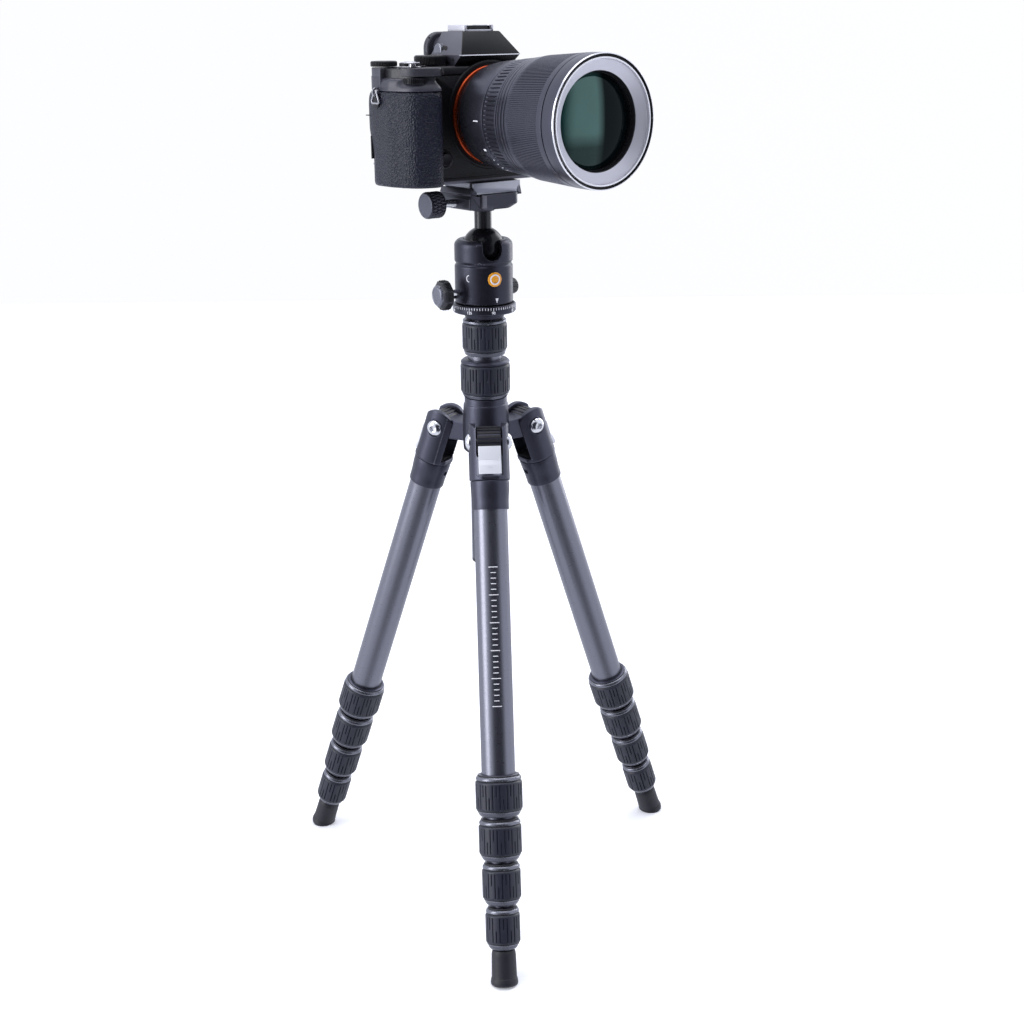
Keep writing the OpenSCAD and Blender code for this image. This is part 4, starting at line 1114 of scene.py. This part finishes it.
# painted light: faces turned along X take the lighter side finish, the lower front faces take the
# near-black gap finish, and the rest take the dark front finish
hump = coloured(hump, lambda c, n, k: 1 if abs(n.x) > 0.6 else (3 if c.y < -2 and c.z < 574.3 else 0))
chrome = loft([[(x, -11.22, 574.35), (x, -11.22, 574.9), (x, -10.6, 574.95), (x, -10.6, 574.3)]
               for x in (-22.9, 0, 22.9)], 2)
chrome_end = joined(block(-23.2, -22.7, -11.1, -9.0, 574.35, 574.9, 0.1, 0.1, 2),
                    block(22.7, 23.2, -11.1, -9.0, 574.35, 574.9, 0.1, 0.1, 2))
cheek_screws = joined(*[moved(lathe([(0, 0), (0.8, 0), (0.75, 0.2), (0, 0.12)], 20, 0.05),
                              move(side * 22.95, -2.5, 572.2) @ turn(side * 90, "Y")) for side in (-1, 1)])
cheek_line = joined(block(-23.05, -22.4, 2, 19, 570.2, 570.45, 0.02, 0.05, 3),
                    block(22.4, 23.05, 2, 19, 570.2, 570.45, 0.02, 0.05, 3))
piece("viewfinder_hump", "camera", joined(hump, chrome, chrome_end, painted(cheek_screws, 3), cheek_line),
      "front", "side", "chrome", "gap")


def arch_loop(w, h, r, low=567.9, steps=8):
    return outline([(-w / 2, low, 0.5), (w / 2, low, 0.5), (w / 2, low + h + 0.5, r),
                    (-w / 2, low + h + 0.5, r)], steps)


def arch(w, h, r, y0, y1, edge, number=0, low=567.9):
    return moved(prism(arch_loop(w, h, r, low), -y1, -y0, edge, edge, 5, number), turn(90, "X"))


neck = arch(37, 17.5, 8, 19, 27, 0.6, 0)
cup = arch(45, 20, 10, 25.6, 31, 1.7, 1)
rim = moved(prism(outline([(-16, 571.2, 4), (16, 571.2, 4), (16, 583.6, 4), (-16, 583.6, 4)], 6), -31.2,
                  -28, 0.5, 0, 3, 2), turn(90, "X"))
window = moved(prism(outline([(-12, 572.4, 2), (12, 572.4, 2), (12, 582.4, 2), (-12, 582.4, 2)], 6), -31.35,
                     -28, 0.2, 0, 3, 3), turn(90, "X"))
cup_dots = []
for n in range(9):
    a = math.radians(100 + 9 * n)
    cup_dots.append(moved(lathe([(0, 0), (0.3, 0), (0.25, 0.2), (0, 0.25)], 10, 0),
                          move(-12.6 + 9.9 * math.cos(a), 28.2,
                               578.3 + 9.9 * math.sin(a)) @ turn(90 - math.degrees(a), "Y")))
bars = joined(block(-22.65, -22.2, 26.9, 27.6, 574.0, 576.2, 0.05, 0.2, 2),
              block(-20.5, -19.5, 26.4, 27.2, 584.0, 585.4, 0.05, 0.2, 2))
piece("eyepiece", "camera", joined(neck, cup, rim, window, bars, *[painted(d, 2) for d in cup_dots]),
      "side", "eyecup", "gap", "screen")

diopter = moved(joined(
    lathe([(0, 0), (4.3, 0), (4.3, 3.4, 0.5), (3.4, 3.8, 0.3), (0, 3.6)], 120, 0.3,
          flutes(24, 0.35, 0.4, 3.2), 0.7)),
    move(-18.6, 15.2, 577.2) @ turn(-90, "Y"))
dark_disc = lathe([(0, 0), (3.2, 0), (3.2, 1.9, 0.3), (2.4, 2.0, 0.2), (0, 1.5)], 48, 0.2)
dark_disc = moved(painted(dark_disc, 1), move(-19.6, 9.4, 577.0) @ turn(-90, "Y"))
piece("diopter_wheel", "camera", joined(diopter, dark_disc), "lock_ring", "gap")

rail_shape = []
for side in (-1, 1):
    profile = outline([(9.3 * side, 588.6, 0.1), (11.3 * side, 588.6, 0.2), (11.3 * side, 592.35, 0.5),
                       (7.8 * side, 592.35, 0.3), (7.8 * side, 591.6, 0.1),
                       (9.3 * side, 591.6, 0.1)][::side], 3)
    rail_shape.append(moved(prism(profile, -19, -1, 0.3, 0.3, 3), turn(90, "X")))
base = block(-9.5, 9.5, 1, 19, 588.5, 589.6, 0.1, 0.3)
cover = block(-9.1, 9.1, 2.2, 18.2, 589.5, 592.0, 0.4, 0.8, 1)
piece("shoe_rails", "camera", joined(*rail_shape, base, cover), "silver", "gap")

# controls
knob_marks = []
for n in range(9):
    figure = numerals(str(n % 9 + 1) if n % 3 == 0 else "-", 2.2)
    knob_marks.append(moved(figure, turn(40 * n, "Z") @ move(0, 6.9, 6.42)))
mode = lathe([(0, 0.3), (9.6, 0.3, 0.3), (10, 0.8, 0.3), (10, 5.5, 0.3), (9.3, 6.3, 0.4), (8.9, 6.4, 0.2),
              (2.6, 6.4, 0.2), (2.4, 6.2, 0.1), (0, 6.2)], 360, 0.2, flutes(60, 0.4, 0.7, 5.7), 0.8)
piece("mode_dial_knob", "mode_dial", moved(joined(mode, *[painted(m, 1) for m in knob_marks]),
                                           move(-33, 8, PLATE_H)),
      "dial", "white", stands_for=["mode_dial"])
dial_marks = []
for n, figure in enumerate(("3", "2", "1", "0", "1", "2", "3")):
    mark_place = turn(34 * (3 - n), "Z") @ move(0, 5.9, 3.62)
    dial_marks.append(painted(moved(numerals(figure, 1.9), mark_place), 1))
corner_dial = lathe([(0, 0.3), (8.0, 0.3, 0.3), (8.2, 0.7, 0.2), (8.2, 3.0, 0.3), (7.6, 3.6, 0.3),
                     (0, 3.6)], 288, 0.2,
                    flutes(48, 0.35, 0.6, 3.1), 0.7)
piece("exposure_dial_knob", "exposure_dial", moved(joined(corner_dial, *dial_marks),
                                                   move(-63, 14.6, PLATE_H)),
      "dial", "white", stands_for=["exposure_dial"])
power = lathe([(4.5, -0.4), (6.9, -0.4), (6.9, 0.4, 0.2, 1), (6.4, 0.7, 0.2, 0), (6.4, 2.7, 0.4, 1),
               (5.7, 3.1, 0.2), (5.2, 3.0, 0.2, 0), (4.5, 2.4)], 200, 0.2, flutes(40, 0.4, 0.9, 2.6), 0.6)
lever = loft([[(x, y, z) for x, z in ((-2.6 + t, 0.4), (2.6 - t, 0.4), (2.3 - t, 2.4), (-2.3 + t, 2.4))]
              for y, t in ((-5.6, 0), (-7.6, 0.5), (-8.2, 1.0))], 1)
piece("power_ring", "camera", moved(joined(power, lever), move(-60, -9, PLATE_H) @ turn(-20, "Z")), "dial",
      "button")
shutter = lathe([(0, -1.2), (3.8, -1.2), (3.8, 2.9, 0.4), (3.2, 3.5, 0.3), (0, 3.0)], 64, 0.3)
piece("shutter_cap", "shutter_button", moved(shutter, move(-60, -9, PLATE_H)), "button",
      stands_for=["shutter_button"])
custom = lathe([(0, -0.2), (2.9, -0.2), (2.9, 0.9, 0.3), (0, 0.75)], 48, 0.3)
piece("top_buttons", "camera", joined(moved(custom, move(-50, -6, PLATE_H)),
                                      moved(custom, move(-47.5, 4.5, PLATE_H))), "dial")

# strap lugs: eyelet, split ring and tab
def lug_set(side, x, y, z):
    eye = moved(lathe([(1.3, -0.6), (2.8, -0.6), (2.8, 0.6), (1.3, 0.6)], 40, 0.2, closed=True),
                move(x - 1.4, y, z) @ turn(90, "X"))
    post = moved(rod(1.9, 0, 1.8, 32, 0.3), move(x, y, z) @ turn(-90, "Y"))
    corners = outline([(0, 3.6, 1.2), (4.6, -5.4, 1.2), (-4.6, -5.4, 1.2)], 6)
    tube_ring = []
    for p, q, r in zip([corners[-1]] + corners[:-1], corners, corners[1:] + corners[:1]):
        d = Vector((r[0] - p[0], r[1] - p[1])).normalized()
        n = Vector((-d.y, d.x))
        tube_ring.append([(q[0] + n.x * 0.6 * math.cos(a), q[1] + n.y * 0.6 * math.cos(a),
                           0.6 * math.sin(a))
                          for a in (math.tau * s / 10 for s in range(10))])
    tube_ring.append(tube_ring[0])
    ring = moved(loft(tube_ring, 0, False), move(x - 2.0, y, z - 1.2) @ turn(-90, "Y") @ turn(-90, "Z"))
    tab = moved(prism(outline([(-3.6, -9.6, 2.2), (3.6, -9.6, 2.2), (3.4, -2.2, 1.6), (-3.4, -2.2, 1.6)],
                              5), -0.7, 0.7, 0.3, 0.3,
                      3, 1), move(x - 1.2, y + 0.6, z + 0.4) @ turn(-90, "Y") @ turn(-90, "Z"))
    shape = joined(eye, post, ring, tab)
    return shape if side < 0 else moved(shape, Matrix.Scale(-1, 4, (1, 0, 0)))


piece("strap_lug_1", "camera", lug_set(-1, -70.8, 10.6, 554.0), "button", "shell")
piece("strap_lug_2", "camera", lug_set(1, -54.9, 4.0, 556.0), "button", "shell")

# back: screen, wheel, buttons; underside door


def rect(x0, x1, z0, z1, r):
    return outline([(x0, z0, r), (x1, z0, r), (x1, z1, r), (x0, z1, r)], 5)


screen = joined(along_y(rect(-27, 49, 504.4, 557.4, 1.6), 20.45, 25.0, 0.4, 0.6),
                along_y(rect(-25.4, 47.4, 506.2, 555.8, 1.0), 24.8, 25.28, 0.1, 0.15, 1),
                moved(rod(1.2, -15, 37, 32, 0.2, 0), move(0, 21.6, 558.0) @ ACROSS),
                along_y(rect(-14, -10, 555.5, 559.2, 0.5), 20.6, 22.8, 0.2, 0.2),
                along_y(rect(32, 36, 555.5, 559.2, 0.5), 20.6, 22.8, 0.2, 0.2))
piece("screen_panel", "rear_screen", screen, "shell", "screen", stands_for=["rear_screen"])
wheel = lathe([(0, -0.9), (9, -0.9), (9, 1.2, 0.4), (8.2, 1.9, 0.3), (5.6, 2.1, 0.3), (5.2, 1.5, 0.2),
               (4.2, 1.5, 0.1), (4.0, 2.2, 0.3), (0, 2.3)], 240, 0.2, flutes(40, 0.3, -0.4, 1.3), 0.7)
piece("wheel_knob", "control_wheel", moved(wheel, move(-43, 20.3, 518.4) @ turn(-90, "X")), "dial",
      stands_for=["control_wheel"])
knob_button = moved(lathe([(0, -0.6), (2.7, -0.6), (2.7, 1.0, 0.4), (0, 0.8)], 40, 0.3), turn(-90, "X"))
spots = [(-33.5, 549.5), (-43.5, 543.5), (-33.5, 533.0), (-52.0, 505.5), (-33.5, 505.5),
         (46.0, 561.0 - 1.2), (32.0, 561.0 - 1.2)]
piece("rear_buttons", "camera", joined(*[moved(knob_button, move(x, 20.1, z)) for x, z in spots]), "dial")
door = joined(moved(prism(outline([(-66, -9, 3), (-43, -9, 3), (-43, 12, 1.5), (-66, 12, 1.5)], 5), 497.25,
                          497.6, 0, 0.1, 2, 0), I),
              block(-58, -51, 8.2, 10.6, 497.1, 497.5, 0.1, 0.5, 1))
piece("battery_door", "camera", door, "shell", "gap")


# ---------- lens ----------

FIN = 210
mount_ring = lathe([(27.5, 10.7), (30.3, 10.7, 0.2), (30.3, 11.7, 0.3), (29.7, 12.45, 0.15), (27.5, 12.45)],
                   192, 0.2)
piece("bayonet_ring", "camera", moved(mount_ring, LENS), "mount", stands_for=["lens_mount"])
barrel = lathe([(24, 12.5), (28.6, 12.55, 0.3), (29.3, 15.5, 1), (31.6, 19.5, 3), (33.0, 30, 3),
                (33.8, 40, 2), (34.0, 45.3, 0.3), (31, 45.5, 0.1, 1), (31, 60.6, 0), (33, 60.7, 0.1, 0),
                (35.6, 60.9, 0.3), (35.75, 62.6, 0.1, 1), (35.4, 62.75, 0.1), (35.4, 62.95, 0.1, 0),
                (35.8, 63.1, 0.1), (36.1, 66.0, 0.1, 1), (35.3, 66.1, 0.1), (35.3, 66.5, 0.1, 0),
                (36.2, 66.6, 0.1), (36.5, 69.3, 0.3), (34, 69.5, 0.1, 1), (34, 107.4, 0),
                (37, 107.5, 0.1, 0), (38.85, 107.8, 0.25), (38.9, 117.1, 0.2, 2), (38.6, 118.0, 0.25),
                (38.2, 117.9, 0.1, 1), (38.0, 116.4, 0.1), (36.7, 116.4, 0.1, 2), (36.5, 117.7, 0.15),
                (35.6, 117.7, 0.15, 3), (35.3, 115.6, 0.1), (34.9, 115.5, 0.15), (28.9, 112.9, 0.2, 1),
                (28.55, 112.2, 0.2), (28.5, 96.5)],
               256, 0.2)
piece("barrel_shell", "camera", moved(barrel, LENS), "lens", "gap", "chrome", "silver",
      stands_for=["lens_barrel"], sharp=30)


def castle(count, depth, low, high, share=0.5):
    """Straight-sided ribs."""
    def relief(a, r, z):
        if not low < z < high:
            return r
        place = (a * count / math.tau) % 1
        return r - depth * max(0.0, min(1.0, (abs(place - 0.5) - share / 2) / 0.08))
    return relief


aperture = lathe([(31.2, 45.9), (34.2, 45.9, 0.3), (34.4, 47.2, 0.2), (35.3, 58.9, 0.3), (35.4, 60.3, 0.3),
                  (31.2, 60.4)], 960, 0.2,
                 castle(80, 0.7, 47.6, 58.6, 0.62), 1.2)
piece("aperture_sleeve", "aperture_ring", moved(aperture, LENS), "lens", stands_for=["aperture_ring"],
      sharp=30)
focus = lathe([(34.2, 69.9), (36.7, 69.9, 0.3), (36.85, 71.4, 0.2), (38.6, 102.6, 0.3), (38.85, 107.1, 0.3),
               (34.2, 107.3)], FIN * 6, 0.2,
              castle(FIN, 0.42, 71.6, 102.4, 0.4), 2.5)
piece("focus_sleeve", "focus_ring", moved(focus, LENS), "lens", stands_for=["focus_ring"], sharp=30)

front_glass = [(28.3, 104.0)] + [(28.3 * math.cos(t), 106.6 + 5.4 * math.sin(t), 0) for t in
                                 (math.pi / 2 * s / 24 for s in range(0, 24))] + [(0, 112.0)]
ring_inner = lathe([(28.5, 105.8), (28.5, 109.6, 0.3), (27.9, 109.9, 0.2), (27.5, 108.2, 0.2),
                    (27.2, 107.0)], 160, 0.2)
piece("front_glass", "camera", moved(lathe(front_glass, 160, 0), LENS), "glass",
      stands_for=["lens_elements"])
piece("glass_retainer", "camera", moved(ring_inner, LENS), "lens_dark")

# small plain marks on the barrel, and the click switch


def on_lens(shape, radius, angle, d):
    """Lays a flat mark on the barrel: angle from the left side, turning down; x runs along the axis."""
    points = []
    for x, y, z in shape[0]:
        a = math.radians(180 + angle) + y / radius
        points.append(((radius + z) * math.cos(a), (radius + z) * math.sin(a), d + x))
    return moved((points, shape[1], shape[2]), LENS)


marks = joined(on_lens(block(-3.0, 3.0, -0.35, 0.35, -0.4, 0.08, 0, 0.1), 33.75, 2, 39.4),
               on_lens(block(-1.2, 1.2, -0.8, 0.8, -0.4, 0.08, 0, 0.3), 33.8, 33, 41.0))
dots = joined(*[on_lens(lathe([(0, -0.3), (0.5, -0.3), (0.45, 0.12), (0, 0.14)], 16, 0), 33.95, 46 + 7 * n,
                        43.6) for n in range(4)])
piece("barrel_marks", "camera", joined(marks, dots), "white")
switch = joined(on_lens(block(-4.5, 4.0, -4.6, 4.6, -0.6, 0.5, 0.25, 1.2, 0), 33.2, 44, 37.2),
                *[on_lens(block(-2.4, 2.0, -0.35 + 1.3 * n, 0.35 + 1.3 * n, 0.3, 1.1, 0.15, 0.2, 1), 33.2,
                          44, 37.2) for n in (-1, 0, 1)])
piece("click_switch", "camera", switch, "gap", "lens")


# ---------- stage ----------

scene = bpy.context.scene
scene.view_settings.view_transform = "Standard"

paper = finish("pale_paper", (0.93, 0.935, 0.965), 0.75, 0, 60, 0.02, mottle=0.01, vary=0.03)
paper_glow = paper.node_tree.nodes["Principled BSDF"].inputs
paper_glow["Emission Color"].default_value = (0.95, 0.96, 1.0, 1)
paper_glow["Emission Strength"].default_value = 0.2
floor_points = [(x, y, -0.0004) for x, y in ((-2.4, -2.4), (2.4, -2.4), (2.4, 2.4), (-2.4, 2.4))]
floor_faces = [(0, 1, 2, 3)]
floor_mesh = bpy.data.meshes.new("sweep")
floor_mesh.from_pydata(floor_points, [], floor_faces)
floor_mesh.materials.append(paper)
floor_mesh.shade_smooth()
sweep = bpy.data.objects.new("paper_sweep", floor_mesh)
sweep.rotation_euler = (0, 0, math.radians(-38))
bpy.context.collection.objects.link(sweep)
sweep.visible_glossy = False

world = bpy.data.worlds.new("studio")
scene.world = world
world.use_nodes = True
back = world.node_tree.nodes["Background"]
back.inputs["Strength"].default_value = 1.0
sky = world.node_tree


def sky_node(kind, **inputs):
    node = sky.nodes.new(kind)
    for key, value in inputs.items():
        node.inputs[int(key[1:])].default_value = value
    return node


# softboxes behind and above, and a dark room in front
place = sky_node("ShaderNodeTexCoord")
facing = sky_node("ShaderNodeVectorMath", i1=(-0.469, -0.883, 0.0))
facing.operation = "DOT_PRODUCT"
sky.links.new(place.outputs["Generated"], facing.inputs[0])
dark = sky_node("ShaderNodeMapRange", i1=0.56, i2=0.88, i3=1.0, i4=0.0)
dark.interpolation_type = "SMOOTHSTEP"
sky.links.new(facing.outputs["Value"], dark.inputs[0])
tint = sky_node("ShaderNodeMix")
tint.data_type = "RGBA"
tint.inputs["A"].default_value = (0.035, 0.037, 0.05, 1)
tint.inputs["B"].default_value = (0.86, 0.89, 1.0, 1)
sky.links.new(dark.outputs["Result"], tint.inputs["Factor"])
sky.links.new(tint.outputs["Result"], back.inputs["Color"])

# pale room seen around the floor from every side
dome_mesh = bpy.data.meshes.new("dome")
bm = bmesh.new()
bmesh.ops.create_icosphere(bm, subdivisions=4, radius=9)
bm.to_mesh(dome_mesh)
bm.free()
dome_mesh.shade_smooth()
glow = bpy.data.materials.new("pale_wall")
glow.use_nodes = True
glow_shader = glow.node_tree.nodes["Principled BSDF"].inputs
glow_shader["Base Color"].default_value = (0.0, 0.0, 0.0, 1)
glow_shader["Emission Color"].default_value = (0.975, 0.98, 1.0, 1)
glow_shader["Emission Strength"].default_value = 1.0
dome_mesh.materials.append(glow)
dome = bpy.data.objects.new("room", dome_mesh)
bpy.context.collection.objects.link(dome)
dome.visible_glossy = dome.visible_diffuse = dome.visible_shadow = dome.visible_transmission = False


def lamp_at(name, place, target, size, power, colour=(1, 1, 1)):
    light = bpy.data.lights.new(name, "AREA")
    light.shape, light.size, light.size_y = "RECTANGLE", size[0], size[1]
    light.energy, light.color = power, colour
    ob = bpy.data.objects.new(name, light)
    ob.location = place
    ob.rotation_euler = (Vector(place) - Vector(target)).to_track_quat("Z", "Y").to_euler()
    bpy.context.collection.objects.link(ob)


lamp_at("left_box", (-2.2, 0.7, 0.9), (0, 0, 0.35), (1.2, 2.0), 26)
lamp_at("right_box", (2.0, 0.3, 0.9), (0, 0, 0.35), (1.0, 2.0), 14)
lamp_at("top_box", (0.0, 0.2, 2.3), (0, 0, 0.2), (2.0, 2.0), 22)

heading, pitch, roll = math.radians(37.96), math.radians(17.81), math.radians(-0.58)
view = bpy.data.cameras.new("view")
view.lens, view.sensor_width, view.clip_start = 54.14, 36, 0.01
eye = bpy.data.objects.new("view", view)
eye.matrix_world = (Matrix.Translation((-0.606, -0.8042, 0.5966))
                    @ Euler((math.pi / 2 - pitch, 0, -heading)).to_matrix().to_4x4() @ Matrix.Rotation(roll,
                        4, "Z"))
bpy.context.collection.objects.link(eye)
scene.camera = eye

bpy.context.view_layer.update()
